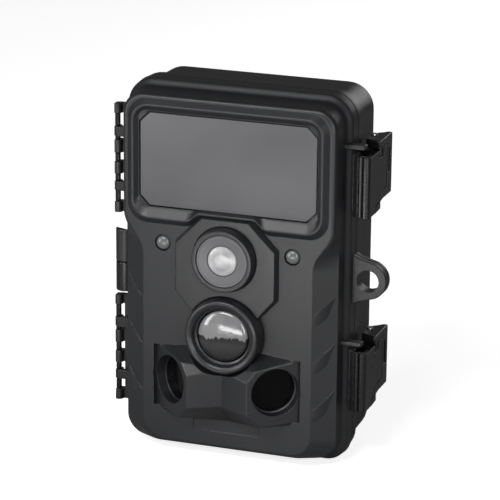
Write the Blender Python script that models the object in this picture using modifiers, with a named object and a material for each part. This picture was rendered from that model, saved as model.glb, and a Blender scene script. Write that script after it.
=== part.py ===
"""Trail camera: a hinged two-part case with an infrared window, lens, motion sensors and battery bay.

Everything is modelled in case coordinates, in millimetres: X to the right from the middle plane, Y from the
front face towards the back, Z up from the front face's lower edge. One parent empty then sets the finished
object over its origin, the centre of the footprint at the lowest point.
"""

import math

import bmesh
import bpy
from mathutils import Matrix, Vector

MM = 0.001
CLEAR = 0.3

# Case
FLANGE_HALF = 44.9
FLANGE_LOW = -5.3
FLANGE_HIGH = 138.9
FLANGE_REACH = 11.0
FACE_HALF = 40.2
FACE_LOWER_HALF = 33.75
FACE_LOW = 0.3
FACE_HIGH = 134.3
DOOR_BACK = 17.85
BASE_FRONT = 18.15
BACK_HALF = 43.1
BACK_LOW = -3.1
BACK_HIGH = 136.8
BACK_Y = 45.4
WALL = 2.4
STEP_LOW = 77.0
STEP_HIGH = 86.5
CORNER_STEPS = 6

# Infrared window
WINDOW_HALF = 34.8
WINDOW_LOW = 92.9
WINDOW_HIGH = 128.8
WINDOW_CORNER = 3.8
CREST_Y = -2.0

# Lens and motion sensors
LENS_Z = 75.7
LENS_RADIUS = 11.7
LENS_FRONT = -6.5
PLATE_FRONT = -2.7
PIR_Z = 45.8
PIR_RADIUS = 14.4
PIR_FRONT = -6.8
LED_X = 25.8
LED_Z = 78.6
LED_RADIUS = 2.7
SIDE_RIDGE_X = 12.0
SIDE_RIDGE_Y = -10.8
SIDE_EDGE_X = 29.5
SIDE_SLOPE = 0.731
SIDE_HOLE_X = 21.2
SIDE_HOLE_Z = 26.0
SIDE_HOLE_RADIUS = 9.4
SIDE_WINDOW_DEPTH = 3.9

# Hinge, latches and padlock eye
HINGE_X = -51.1
HINGE_Y = 18.0
HINGE_PIN_RADIUS = 0.8
HINGE_TOP = 126.5
HINGE_LENGTH = 43.1
HINGE_OUTER = -52.0
HINGE_LEAF = -48.9
BARREL_X = -48.3
BARREL_RADIUS = 3.6
LATCH_DROP = 76.5
LATCH_LOW = 93.3
LATCH_HIGH = 120.0
LATCH_REAR = 38.5
LATCH_OUTER = 52.0
LATCH_SKIN = 1.8
LATCH_PIN = (46.9, 31.5)
LINK_PIN = (50.6, 27.4)
EYE_X = 50.5
EYE_Z = 67.5
EYE_RADIUS = 7.2
EYE_HOLE = 4.3

# Inside
BOARD_Y = 7.2
PANEL_Y = 12.6
PANEL_THICK = 2.0
CELL_RADIUS = 7.15
CELL_LENGTH = 50.0
CELL_PITCH = 15.2
CELL_Y = 31.4
CELL_ROWS = (40.2, 96.0)
BRACKET_BACK = 51.8
STRAP_LOW = 54.0
STRAP_HIGH = 82.0

# Where the case's own zero stands in the finished object's frame
ORIGIN = (-2.85, -20.5, 5.3)

FINISHES = {
    "charcoal": ((0.045, 0.047, 0.050), 0.55, 0.0),
    "gloss_black": ((0.010, 0.010, 0.012), 0.25, 0.0),
    "dark_plastic": ((0.022, 0.022, 0.024), 0.45, 0.0),
    "grey_plastic": ((0.160, 0.160, 0.170), 0.45, 0.0),
    "smoked": ((0.150, 0.150, 0.160), 0.30, 0.0),
    "black_window": ((0.004, 0.004, 0.005), 0.12, 0.0),
    "pale_lens": ((0.600, 0.600, 0.600), 0.15, 0.0),
    "steel": ((0.550, 0.550, 0.560), 0.30, 1.0),
    "brass": ((0.600, 0.430, 0.180), 0.30, 1.0),
    "board": ((0.010, 0.080, 0.030), 0.50, 0.0),
    "seal": ((0.030, 0.030, 0.032), 0.80, 0.0),
    "cell": ((0.100, 0.110, 0.120), 0.35, 0.3),
}

for old in list(bpy.data.objects):
    bpy.data.objects.remove(old)

parts = bpy.data.collections.new("trail_camera")
cutters = bpy.data.collections.new("cutters")
bpy.context.scene.collection.children.link(parts)
bpy.context.scene.collection.children.link(cutters)


def empty(name, at, parent=None):
    """An empty at a point given in case coordinates."""
    point = bpy.data.objects.new(name, None)
    parts.objects.link(point)
    point.parent = parent
    point.location = Vector(at) * MM
    return point


case_origin = empty("case_origin", ORIGIN)
door_axis = empty("door_axis", (HINGE_X, HINGE_Y, 0), case_origin)


def finished(name, finish):
    colour, roughness, metallic = FINISHES[finish]
    material = bpy.data.materials.new(name)
    material.use_nodes = True
    shader = material.node_tree.nodes["Principled BSDF"]
    shader.inputs["Base Color"].default_value = (*colour, 1)
    shader.inputs["Roughness"].default_value = roughness
    shader.inputs["Metallic"].default_value = metallic
    material.diffuse_color = (*colour, 1)
    return material


def solid(name, bm, finish):
    """Makes an object from a bmesh in case coordinates. Without a finish it is a cutter."""
    bmesh.ops.recalc_face_normals(bm, faces=bm.faces)
    bmesh.ops.scale(bm, vec=Vector((MM, MM, MM)), verts=bm.verts)
    mesh = bpy.data.meshes.new(name)
    bm.to_mesh(mesh)
    bm.free()
    mesh.shade_smooth()
    mesh.set_sharp_from_angle(angle=math.radians(35))
    piece = bpy.data.objects.new(name, mesh)
    piece.parent = case_origin
    if finish:
        parts.objects.link(piece)
        mesh.materials.append(finished(name, finish))
    else:
        cutters.objects.link(piece)
        piece.hide_render = True
        piece.display_type = "WIRE"
    return piece


def on_door(*pieces):
    """Hangs pieces on the door's hinge axis, where they already are."""
    for piece in pieces:
        piece.parent = door_axis
        piece.location -= door_axis.location
    return pieces[0]


def with_origin(piece, at):
    """Moves a piece's origin to a point on its joint's axis."""
    shift = Vector(at) * MM
    piece.data.transform(Matrix.Translation(-shift))
    piece.location += shift
    return piece


def bevelled(piece, width, segments=2):
    bevel = piece.modifiers.new("edges", "BEVEL")
    bevel.width = width * MM
    bevel.segments = segments
    bevel.limit_method = "ANGLE"
    bevel.angle_limit = math.radians(40)
    return piece


def combined(piece, operation, others):
    for other in others:
        boolean = piece.modifiers.new(other.name, "BOOLEAN")
        boolean.operation = operation
        boolean.object = other
    return piece


def cut(piece, *others):
    return combined(piece, "DIFFERENCE", others)


def joined(piece, *others):
    return combined(piece, "UNION", others)


def box(name, low, high, finish=None):
    bm = bmesh.new()
    bmesh.ops.create_cube(bm, size=1)
    low, high = Vector(low), Vector(high)
    bmesh.ops.scale(bm, vec=high - low, verts=bm.verts)
    bmesh.ops.translate(bm, vec=(low + high) / 2, verts=bm.verts)
    return solid(name, bm, finish)


def cylinder(name, start, end, radius, finish=None, end_radius=None, sides=32):
    """A cylinder or cone between two points."""
    bm = bmesh.new()
    start, end = Vector(start), Vector(end)
    along = end - start
    turn = Vector((0, 0, 1)).rotation_difference(along).to_matrix().to_4x4()
    bmesh.ops.create_cone(
        bm,
        cap_ends=True,
        segments=sides,
        radius1=radius,
        radius2=radius if end_radius is None else end_radius,
        depth=along.length,
        matrix=Matrix.Translation((start + end) / 2) @ turn,
    )
    return solid(name, bm, finish)


def prism(name, outline, axis, low, high, finish=None):
    """Extrudes a flat outline along X, Y or Z. The outline holds the other two coordinates in their order."""
    place = {
        "X": lambda a, b: (low, a, b),
        "Y": lambda a, b: (a, low, b),
        "Z": lambda a, b: (a, b, low),
    }[axis]
    bm = bmesh.new()
    face = bm.faces.new([bm.verts.new(place(a, b)) for a, b in outline])
    grown = bmesh.ops.extrude_face_region(bm, geom=[face])["geom"]
    moved = [part for part in grown if isinstance(part, bmesh.types.BMVert)]
    bmesh.ops.translate(bm, vec=Vector([(high - low) * (axis == k) for k in "XYZ"]), verts=moved)
    return solid(name, bm, finish)


def turned(name, profile, at, finish, ring=True, steps=36):
    """Turns a profile of (radius, height towards the front) about a line along Y."""
    mesh = bpy.data.meshes.new(name)
    points = [(radius * MM, 0, height * MM) for radius, height in profile]
    edges = [(k, k + 1) for k in range(len(points) - 1)]
    if ring:
        edges.append((len(points) - 1, 0))
    mesh.from_pydata(points, edges, [])
    piece = bpy.data.objects.new(name, mesh)
    parts.objects.link(piece)
    mesh.materials.append(finished(name, finish))
    screw = piece.modifiers.new("turn", "SCREW")
    screw.steps = steps
    screw.render_steps = steps
    screw.use_merge_vertices = True
    screw.merge_threshold = 0.00001
    screw.use_smooth_shade = True
    piece.parent = case_origin
    piece.rotation_euler = (math.radians(90), 0, 0)
    piece.location = Vector(at) * MM
    return piece


def hull(name, points, finish=None):
    bm = bmesh.new()
    for point in points:
        bm.verts.new(point)
    made = bmesh.ops.convex_hull(bm, input=bm.verts)
    inside = [part for part in made["geom_interior"] if isinstance(part, bmesh.types.BMVert)]
    bmesh.ops.delete(bm, geom=inside, context="VERTS")
    return solid(name, bm, finish)


def rounded(corners, steps=CORNER_STEPS):
    """A closed outline from (x, z, reach) corners, each rounded over its reach along both sides."""
    outline = []
    for k, (x, z, reach) in enumerate(corners):
        here = Vector((x, z))
        before = Vector(corners[k - 1][:2]) - here
        after = Vector(corners[(k + 1) % len(corners)][:2]) - here
        start = here + before.normalized() * reach
        end = here + after.normalized() * reach
        weight = math.sin(before.angle(after) / 2)
        for step in range(steps + 1):
            t = step / steps
            a, b, c = (1 - t) ** 2, 2 * t * (1 - t) * weight, t * t
            outline.append((start * a + here * b + end * c) / (a + b + c))
    return outline


def rectangle(half, low, high, reach):
    return [(half, low, reach), (half, high, reach), (-half, high, reach), (-half, low, reach)]


def door_corners(half, lower_half, low, high, reach):
    """The door's outline: wide beside the window, narrower beside the sensors."""
    right = [
        (lower_half, low, 8.5),
        (lower_half, STEP_LOW, 3.5),
        (half, STEP_HIGH, 3.5),
        (half, high, reach),
    ]
    return right + [(-x, z, r) for x, z, r in reversed(right)]


def loft(name, sections, finish=None, tube=False):
    """Joins outlines given as (y, corners). A tube's last outline meets its first; otherwise both ends close."""
    bm = bmesh.new()
    rows = [[bm.verts.new((p.x, y, p.y)) for p in rounded(corners)] for y, corners in sections]
    pairs = list(zip(rows, rows[1:]))
    if tube:
        pairs.append((rows[-1], rows[0]))
    else:
        bm.faces.new(rows[0])
        bm.faces.new(rows[-1])
    for near, far in pairs:
        for k in range(len(near)):
            following = (k + 1) % len(near)
            bm.faces.new((near[k], near[following], far[following], far[k]))
    return solid(name, bm, finish)


def on_both_sides(build):
    return [build("right", 1), build("left", -1)]


def side_plane(x):
    """How far back a side sensor's face lies at a distance x from the middle."""
    return SIDE_RIDGE_Y + SIDE_SLOPE * (x - SIDE_RIDGE_X)


def latch_levels():
    return (("upper", 0.0), ("lower", -LATCH_DROP))


def knuckles(level, drop, door):
    """The hinge's knuckles on one half of the case. The door's stand between the base's."""
    spans = [(8.9, 12.8), (30.6, 34.3)] if door else [(0.0, 3.9), (14.3, 19.5), (22.9, 27.8), (38.8, 43.1)]
    arm_y = (HINGE_Y - 2.3, DOOR_BACK - 0.05) if door else (BASE_FRONT + 0.05, HINGE_Y + 2.3)
    made = []
    for k, (start, end) in enumerate(spans):
        name = f"{level}_{'door' if door else 'base'}_knuckle_{k}"
        low, high = HINGE_TOP + drop - end, HINGE_TOP + drop - start
        eye = cylinder(f"{name}_eye", (HINGE_X, HINGE_Y, low), (HINGE_X, HINGE_Y, high), 1.9, sides=16)
        arm = box(f"{name}_arm", (HINGE_X, arm_y[0], low), (-42.8, arm_y[1], high))
        made += [eye, arm]
    if not door:
        low, high = HINGE_TOP + drop - HINGE_LENGTH, HINGE_TOP + drop
        made.append(box(f"{level}_leaf", (HINGE_LEAF, arm_y[0], low), (-42.8, arm_y[0] + 1.2, high)))
    return made


def hinge_cutters():
    """The pins' bores and the flat that opens each knuckle on its outer side."""
    made = [box("hinge_outer_flat", (HINGE_OUTER - 3, HINGE_Y - 4, -10), (HINGE_OUTER, HINGE_Y + 4, 140))]
    for level, drop in latch_levels():
        top = HINGE_TOP + drop + 1
        bore = ((HINGE_X, HINGE_Y, top - HINGE_LENGTH - 2), (HINGE_X, HINGE_Y, top))
        made.append(cylinder(f"{level}_hinge_bore", *bore, HINGE_PIN_RADIUS + 0.05, sides=16))
    return made


def eye_plate(name, low, high):
    """One half of the padlock eye, a round lug with a broad foot on the flange."""
    outline = [(EYE_X + EYE_RADIUS * math.cos(a), EYE_Z + EYE_RADIUS * math.sin(a)) for a in
               [math.radians(angle) for angle in range(-70, 71, 14)]]
    outline += [(EYE_X - 3.4, EYE_Z + 8.4), (43.0, EYE_Z + 10.5), (43.0, EYE_Z - 10.5), (EYE_X - 3.4, EYE_Z - 8.4)]
    return prism(name, outline, "Y", low, high)


def window_crest():
    """The raised rim round the infrared window, sloping in to the window's edge."""
    return loft(
        "window_crest",
        [
            (0.8, rectangle(40.0, 85.9, 134.5, 8.0)),
            (0.1, rectangle(39.9, 86.0, 134.4, 7.9)),
            (CREST_Y + 0.4, rectangle(38.0, 87.9, 132.5, 6.6)),
            (CREST_Y, rectangle(37.6, 88.3, 132.1, 6.3)),
            (CREST_Y, rectangle(37.2, 88.7, 131.7, 6.1)),
            (CREST_Y + 0.4, rectangle(36.8, 89.1, 131.3, 5.8)),
            (-0.1, rectangle(35.2, 92.5, 129.2, 4.0)),
            (0.8, rectangle(35.2, 92.5, 129.2, 4.0)),
        ],
        tube=True,
    )


def side_module(side, sign):
    """The wedge that turns a side motion sensor outwards."""
    mirror = lambda points: [(sign * x, y, z) for x, y, z in points]
    crown = [(SIDE_RIDGE_X, SIDE_RIDGE_Y, 17.3), (SIDE_RIDGE_X, SIDE_RIDGE_Y, 30.6)]
    foot = [(16.6, side_plane(16.6), 12.3), (15.0, side_plane(15.0), 35.0)]
    edge = [(SIDE_EDGE_X, side_plane(SIDE_EDGE_X), 13.5), (SIDE_EDGE_X, side_plane(SIDE_EDGE_X), 38.0)]
    valley = [(0.0, -4.5, 18.0), (0.0, -4.5, 33.0)]
    root = [(0, 4, 12), (0, 4, 39.7), (29.5, 4, 12), (29.5, 4, 39.7), (12, 0.2, 9.5), (12, 0.2, 39.7)]
    return hull(f"side_module_{side}", mirror(crown + foot + edge + valley + root))


def side_pocket(side, sign):
    """Clears the space in front of a side sensor's outer edge."""
    start = SIDE_EDGE_X - 3.2
    front, back = side_plane(start), side_plane(SIDE_EDGE_X)
    outline = [(start, front), (SIDE_EDGE_X, back), (SIDE_EDGE_X, -2), (start, -12)]
    return prism(f"side_pocket_{side}", [(sign * x, y) for x, y in outline], "Z", 13.5, 38.0)


def side_cylinder(side, sign, name, radius, front, back, finish=None):
    """A cylinder on a side sensor's own axis, between two depths measured along that axis."""
    tilt = math.atan(SIDE_SLOPE)
    inward = Vector((-sign * math.sin(tilt), math.cos(tilt), 0))
    mouth = Vector((sign * SIDE_HOLE_X, side_plane(SIDE_HOLE_X), SIDE_HOLE_Z))
    return cylinder(f"{name}_{side}", mouth + inward * front, mouth + inward * back, radius, finish)


def front_shell():
    sections = [
        (0.0, FACE_HALF, FACE_LOWER_HALF, FACE_LOW, FACE_HIGH, 7.0),
        (0.5, 41.5, 34.6, -0.9, 135.3, 7.8),
        (2.0, 42.2, 37.0, -1.5, 135.9, 8.2),
        (5.0, 42.35, 41.9, -1.8, 136.1, 8.3),
        (10.4, 42.6, 42.6, -2.3, 136.4, 8.4),
        (11.7, 43.6, 43.6, -3.4, 137.6, 9.5),
        (13.0, 44.6, 44.6, -4.5, 138.7, 10.5),
        (17.2, 44.8, 44.8, -4.9, 138.9, 10.7),
        (DOOR_BACK, 44.4, 44.4, -4.5, 138.5, 10.3),
    ]
    shell = loft("front_shell", [(y, door_corners(*corners)) for y, *corners in sections], "charcoal")
    hollow = loft(
        "door_hollow",
        [
            (WALL, door_corners(38.6, 31.4, 2.0, 132.4, 6.5)),
            (8.0, door_corners(39.6, 37.6, 0.2, 133.4, 7.0)),
            (11.0, door_corners(40.1, 40.0, -0.4, 133.8, 7.3)),
            (DOOR_BACK + 1, door_corners(40.2, 40.2, -0.6, 134.0, 7.5)),
        ],
    )
    cut(shell, hollow)
    blocks = on_both_sides(
        lambda side, sign: box(
            f"sensor_block_{side}", (min(sign * 9, sign * 33), 1, 7.5), (max(sign * 9, sign * 33), 6.4, 42)
        )
    )
    modules = on_both_sides(side_module)
    joined(shell, *blocks, *modules, window_crest())
    for level, drop in latch_levels():
        strike = box(f"{level}_strike", (41.5, 12.8, 95 + drop), (46.6, 15.8, 117 + drop))
        shelf = box(f"{level}_shelf", (41.0, 9.4, 119.5 + drop), (50.2, 13.2, 121.4 + drop))
        joined(shell, strike, shelf, *knuckles(level, drop, door=True))
    lug = prism("middle_lug", [*barrel_arc(0, -180), (-42.8, DOOR_BACK), (-42.8, 14.6)], "Z", 64.2, 77.2)
    joined(shell, lug, eye_plate("door_eye", 15.2, DOOR_BACK))
    pockets = on_both_sides(side_pocket)
    rims = on_both_sides(lambda side, sign: side_cylinder(side, sign, "sensor_rim", SIDE_HOLE_RADIUS, -6, SIDE_WINDOW_DEPTH + 0.8))
    bores = on_both_sides(lambda side, sign: side_cylinder(side, sign, "sensor_bore", 7.4, -1, 22))
    sockets = on_both_sides(
        lambda side, sign: cylinder(
            f"led_socket_{side}", (sign * LED_X, -2, LED_Z), (sign * LED_X, 5, LED_Z), LED_RADIUS + 0.3, sides=24
        )
    )
    cut(shell, *pockets, *rims, *bores, *sockets)
    pocket = prism("window_pocket", window_outline(0.25), "Y", -3, 1.7)
    opening = prism("window_opening", window_outline(-2.5), "Y", 1, 6)
    lens_hole = cylinder("lens_hole", (0, -5, LENS_Z), (0, 9, LENS_Z), 12.8, sides=48)
    pir_seat = cylinder("pir_seat", (0, -15, PIR_Z), (0, 0.3, PIR_Z), 15.3, sides=48)
    pir_hole = cylinder("pir_hole", (0, -1, PIR_Z), (0, 9, PIR_Z), 12.5, sides=48)
    name_bar = box("name_bar", (-13.2, -3, 5.4), (13.2, 0.4, 10.6))
    plate_seat = prism("plate_seat", plate_outline(1.2), "Y", -5, 0)
    door_eye_hole = cylinder("door_eye_hole", (EYE_X, 10, EYE_Z), (EYE_X, 19, EYE_Z), EYE_HOLE, sides=24)
    cut(shell, plate_seat, pocket, opening, lens_hole, pir_seat, pir_hole, name_bar, door_eye_hole)
    cut(shell, *hinge_cutters())
    return on_door(shell)


def window_outline(grow):
    """The window's outline with its corners cut off, made larger by grow."""
    half, low, high = WINDOW_HALF + grow, WINDOW_LOW - grow, WINDOW_HIGH + grow
    corner = WINDOW_CORNER + grow * 0.4
    right = [(half - corner, low), (half, low + corner), (half, high - corner), (half - corner, high)]
    return right + [(-x, z) for x, z in reversed(right)]


def plate_outline(grow):
    """The lens plate's eight-sided outline, made larger by grow."""
    right = [
        (9.3 + grow * 0.5, 90.4 + grow),
        (19.6 + grow, 80.0 + grow * 0.5),
        (19.6 + grow, 61.5 - grow * 0.5),
        (11.0, 51.5 - grow),
    ]
    return right + [(-x, z) for x, z in reversed(right)]


def infrared_window():
    pane = bevelled(prism("infrared_window", window_outline(0), "Y", 0.0, 1.4, "smoked"), 0.25, 1)
    lamps = box("infrared_board", (-32.5, 3.2, 95.4), (32.5, 4.8, 126.4), "board")
    on_door(pane, lamps)


def lens_group():
    plate = prism("lens_plate", plate_outline(0), "Y", PLATE_FRONT, -0.3, "charcoal")
    bevelled(plate, 0.8, 2)
    lens_clear = cylinder("plate_lens_hole", (0, -6, LENS_Z), (0, 2, LENS_Z), 12.8, sides=48)
    pir_clear = cylinder("plate_pir_cut", (0, -6, PIR_Z), (0, 2, PIR_Z), 15.3, sides=48)
    cut(plate, lens_clear, pir_clear)
    front = -LENS_FRONT
    ring = turned(
        "lens_ring",
        [(10.3, front), (LENS_RADIUS - 0.4, front), (LENS_RADIUS, front - 0.4), (12.4, -PLATE_FRONT), (12.4, -4.5), (10.3, -4.5)],
        (0, 0, LENS_Z),
        "charcoal",
    )
    mask = turned("lens_mask", [(6.0, front - 0.5), (10.0, front - 0.5), (10.0, front - 1.8), (6.0, front - 1.8)], (0, 0, LENS_Z), "grey_plastic")
    dome = [(5.7 * math.sin(a), front - 1.3 + 1.1 * math.cos(a)) for a in [math.radians(d) for d in range(0, 91, 18)]]
    glass = turned("lens_glass", dome + [(5.7, front - 3.0), (0, front - 3.0)], (0, 0, LENS_Z), "pale_lens", ring=False)
    barrel = turned(
        "lens_barrel",
        [(0, front - 3.4), (8.4, front - 3.4), (8.4, -1.0), (7.0, -1.0), (7.0, -6.8), (0, -6.8)],
        (0, 0, LENS_Z),
        "gloss_black",
        ring=False,
        steps=32,
    )
    on_door(plate, ring, mask, glass, barrel)


def motion_sensor():
    front = -PIR_FRONT
    ring = turned(
        "motion_ring",
        [(12.9, front), (PIR_RADIUS - 0.3, front), (PIR_RADIUS, front - 0.3), (15.0, 0.0), (10.4, 0.0), (10.4, front - 2.6), (11.6, front - 2.6)],
        (0, 0, PIR_Z),
        "charcoal",
    )
    dome = [(9.9 * math.sin(a), front - 2.9 + 2.0 * math.cos(a)) for a in [math.radians(d) for d in range(0, 91, 18)]]
    lens = turned("motion_lens", dome + [(9.9, 0.6), (0, 0.6)], (0, 0, PIR_Z), "gloss_black", ring=False)
    can = turned("motion_detector", [(0, -1.2), (4.6, -1.2), (4.6, -6.8), (0, -6.8)], (0, 0, PIR_Z), "steel", ring=False, steps=24)
    on_door(ring, lens, can)


def side_sensors():
    for side, sign in (("right", 1), ("left", -1)):
        front = SIDE_WINDOW_DEPTH
        window = side_cylinder(side, sign, "side_window", SIDE_HOLE_RADIUS - 0.25, front, front + 0.5, "black_window")
        detector = side_cylinder(side, sign, "side_detector", 4.4, front + 1.5, front + 5.5, "steel")
        on_door(window, detector)


def indicator_lamps():
    for side, sign in (("right", 1), ("left", -1)):
        dome = [(LED_RADIUS * math.sin(a), 0.3 * math.cos(a) - 0.5) for a in [math.radians(d) for d in range(0, 91, 18)]]
        lamp = turned(f"indicator_{side}", dome + [(LED_RADIUS, -3.0), (0, -3.0)], (sign * LED_X, 0, LED_Z), "smoked", ring=False, steps=24)
        on_door(lamp)


KEYS = {"up": (0, 8.5), "down": (0, -8.5), "left": (-8.5, 0), "right": (8.5, 0), "ok": (0, 0)}
KEY_CENTRE = (-14.0, 38.0)
SCREEN = (-27.0, 57.0, 27.0, 97.0)
SWITCH_AT = (16.0, 42.0)
CARD = (12.0, 4.6, 36.0, 36.5)


def control_side():
    """What the opened door shows on its inner side: screen, keys, switch and card."""
    board = box("main_board", (-35.5, BOARD_Y, 6.0), (35.5, BOARD_Y + 1.6, 124.0), "board")
    x0, z0, x1, z1 = SCREEN
    screen = box("display_screen", (x0, 9.2, z0), (x1, 12.2, z1), "black_window")
    panel = prism("control_panel", [tuple(p) for p in rounded(rectangle(39.6, 0.2, 133.2, 7.0))], "Y", PANEL_Y, PANEL_Y + PANEL_THICK, "dark_plastic")
    holes = [box("screen_hole", (x0 + 2, PANEL_Y - 1, z0 + 2), (x1 - 2, PANEL_Y + 4, z1 - 2))]
    keys = []
    for name, (dx, dz) in KEYS.items():
        at = (KEY_CENTRE[0] + dx, KEY_CENTRE[1] + dz)
        key = cylinder(f"key_{name}", (at[0], 9.6, at[1]), (at[0], 15.4, at[1]), 3.2, "grey_plastic", sides=20)
        keys.append(key)
        holes.append(cylinder(f"key_hole_{name}", (at[0], 11, at[1]), (at[0], 17, at[1]), 3.5, sides=24))
    sx, sz = SWITCH_AT
    switch = bevelled(box("power_switch", (sx - 2.2, 9.4, sz - 1.6), (sx + 2.2, 15.6, sz + 1.6), "grey_plastic"), 0.4, 1)
    holes.append(box("switch_slot", (sx - 2.6, 11, sz - 2.0), (sx + 8.6, 17, sz + 2.0)))
    cx0, cz0, cx1, cz1 = CARD
    slot = box("card_slot", (cx0 - 1.5, 8.95, cz0 + 3), (cx1 + 1.5, 12.2, cz1 + 0.5), "steel")
    cut(slot, box("card_slot_mouth", (cx0 - 0.3, 9.6, cz0 - 3), (cx1 + 0.3, 11.9, cz1 - 1.0)))
    card = bevelled(box("memory_card", (cx0, 9.7, cz0 + 1.2), (cx1, 11.8, cz1 - 1.4), "dark_plastic"), 0.25, 1)
    holes.append(box("card_window", (cx0 - 1, PANEL_Y - 1, cz0 - 3.2), (cx1 + 1, PANEL_Y + 4, cz0 + 6)))
    port = box("usb_port", (-6.0, 8.95, 6.4), (2.0, 12.2, 13.5), "steel")
    cut(port, box("usb_mouth", (-5.2, 9.6, 5), (1.2, 11.6, 12.6)))
    screws = []
    for k, (x, z) in enumerate(((-33, 126), (33, 126), (-33, 8), (33, 30))):
        holes.append(cylinder(f"screw_seat_{k}", (x, PANEL_Y + 0.7, z), (x, PANEL_Y + 4, z), 2.6, sides=16))
        if k < 2:
            screws.append(cylinder(f"panel_screw_{k + 1}", (x, PANEL_Y + 1.0, z), (x, PANEL_Y + 2.4, z), 2.2, "steel", sides=16))
    cut(panel, *holes)
    on_door(board, screen, panel, slot, port, *screws)
    for key in keys:
        on_door(key)
    on_door(switch, card)
    return keys, switch, card


def rear_shell():
    sections = [
        (BASE_FRONT, 44.4, -4.8, 138.4, 10.7),
        (18.75, FLANGE_HALF, FLANGE_LOW, FLANGE_HIGH, FLANGE_REACH),
        (22.6, FLANGE_HALF, FLANGE_LOW, FLANGE_HIGH, FLANGE_REACH),
        (23.4, 44.7, -5.1, 138.7, 10.9),
        (24.2, 43.5, -3.8, 137.4, 10.2),
        (25.0, 43.3, -3.5, 137.0, 10.0),
        (42.6, BACK_HALF, BACK_LOW, BACK_HIGH, 10.0),
        (44.6, 42.2, -2.2, 135.9, 9.5),
        (BACK_Y, 40.3, -0.3, 134.0, 8.4),
    ]
    shell = loft("rear_shell", [(y, rectangle(*corners)) for y, *corners in sections], "charcoal")
    inner = rectangle(39.8, -0.4, 133.6, 8.0)
    hollow = loft("base_hollow", [(BASE_FRONT - 2, inner), (BACK_Y - WALL, inner)])
    cut(shell, hollow)
    for level, drop in latch_levels():
        post = box(f"{level}_latch_post", (41.6, 29.4, 100.4 + drop), (49.3, 33.8, 115.4 + drop))
        joined(shell, bevelled(post, 1.2, 2), *knuckles(level, drop, door=False))
    socket = cylinder("tripod_boss", (0, 31.5, BACK_LOW + 1), (0, 31.5, 6.4), 7.0, sides=32)
    joined(shell, socket, eye_plate("base_eye", BASE_FRONT, 20.8))
    groove = loft(
        "seal_groove",
        [
            (BASE_FRONT - 1, rectangle(43.2, -3.7, 137.2, 10.0)),
            (BASE_FRONT + 1.5, rectangle(43.2, -3.7, 137.2, 10.0)),
            (BASE_FRONT + 1.5, rectangle(41.2, -1.7, 135.2, 9.0)),
            (BASE_FRONT - 1, rectangle(41.2, -1.7, 135.2, 9.0)),
        ],
        tube=True,
    )
    eye_hole = cylinder("base_eye_hole", (EYE_X, 17, EYE_Z), (EYE_X, 23, EYE_Z), EYE_HOLE, sides=24)
    socket_hole = cylinder("tripod_hole", (0, 31.5, BACK_LOW - 2), (0, 31.5, 5.4), 4.5, sides=32)
    cut(shell, groove, eye_hole, socket_hole, *hinge_cutters())
    for level, drop in latch_levels():
        bore = ((*LATCH_PIN, 95 + drop), (*LATCH_PIN, 121 + drop))
        cut(shell, cylinder(f"{level}_post_bore", *bore, 1.3, sides=16))
    for k, z in enumerate((46, 90)):
        hole = cylinder(f"bracket_screw_hole_{k}", (0, 40, z), (0, 47, z), 1.6, sides=16)
        cut(shell, hole)
    return shell


def seal():
    return loft(
        "seal_ring",
        [
            (17.95, rectangle(42.7, -3.2, 136.7, 9.8)),
            (19.3, rectangle(42.7, -3.2, 136.7, 9.8)),
            (19.3, rectangle(41.7, -2.2, 135.7, 9.3)),
            (17.95, rectangle(41.7, -2.2, 135.7, 9.3)),
        ],
        "seal",
        tube=True,
    )


def barrel_arc(start, end, gap=CLEAR / 2):
    """Points on the middle barrel, from one angle to another. The halves keep a gap from the hinge plane."""
    points = []
    for step in range(13):
        angle = math.radians(start + (end - start) * step / 12)
        away = BARREL_RADIUS * math.sin(angle)
        y = HINGE_Y + (math.copysign(gap, away) if abs(away) < gap else away)
        points.append((BARREL_X + BARREL_RADIUS * math.cos(angle), y))
    return [point for point in points if point[0] < BARREL_X + 2.8]


def hinge_pins():
    for level, drop in latch_levels():
        top = HINGE_TOP + drop
        span = ((HINGE_X, HINGE_Y, top - HINGE_LENGTH), (HINGE_X, HINGE_Y, top))
        cylinder(f"hinge_pin_{level}", *span, HINGE_PIN_RADIUS, "gloss_black", sides=16)
    outline = [*barrel_arc(90, 270), (-45.6, 15.4), (-45.6, 20.6)]
    post = prism("middle_post", outline, "Z", 52.2, 63.9, "gloss_black")
    bevelled(post, 0.4, 2)


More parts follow.
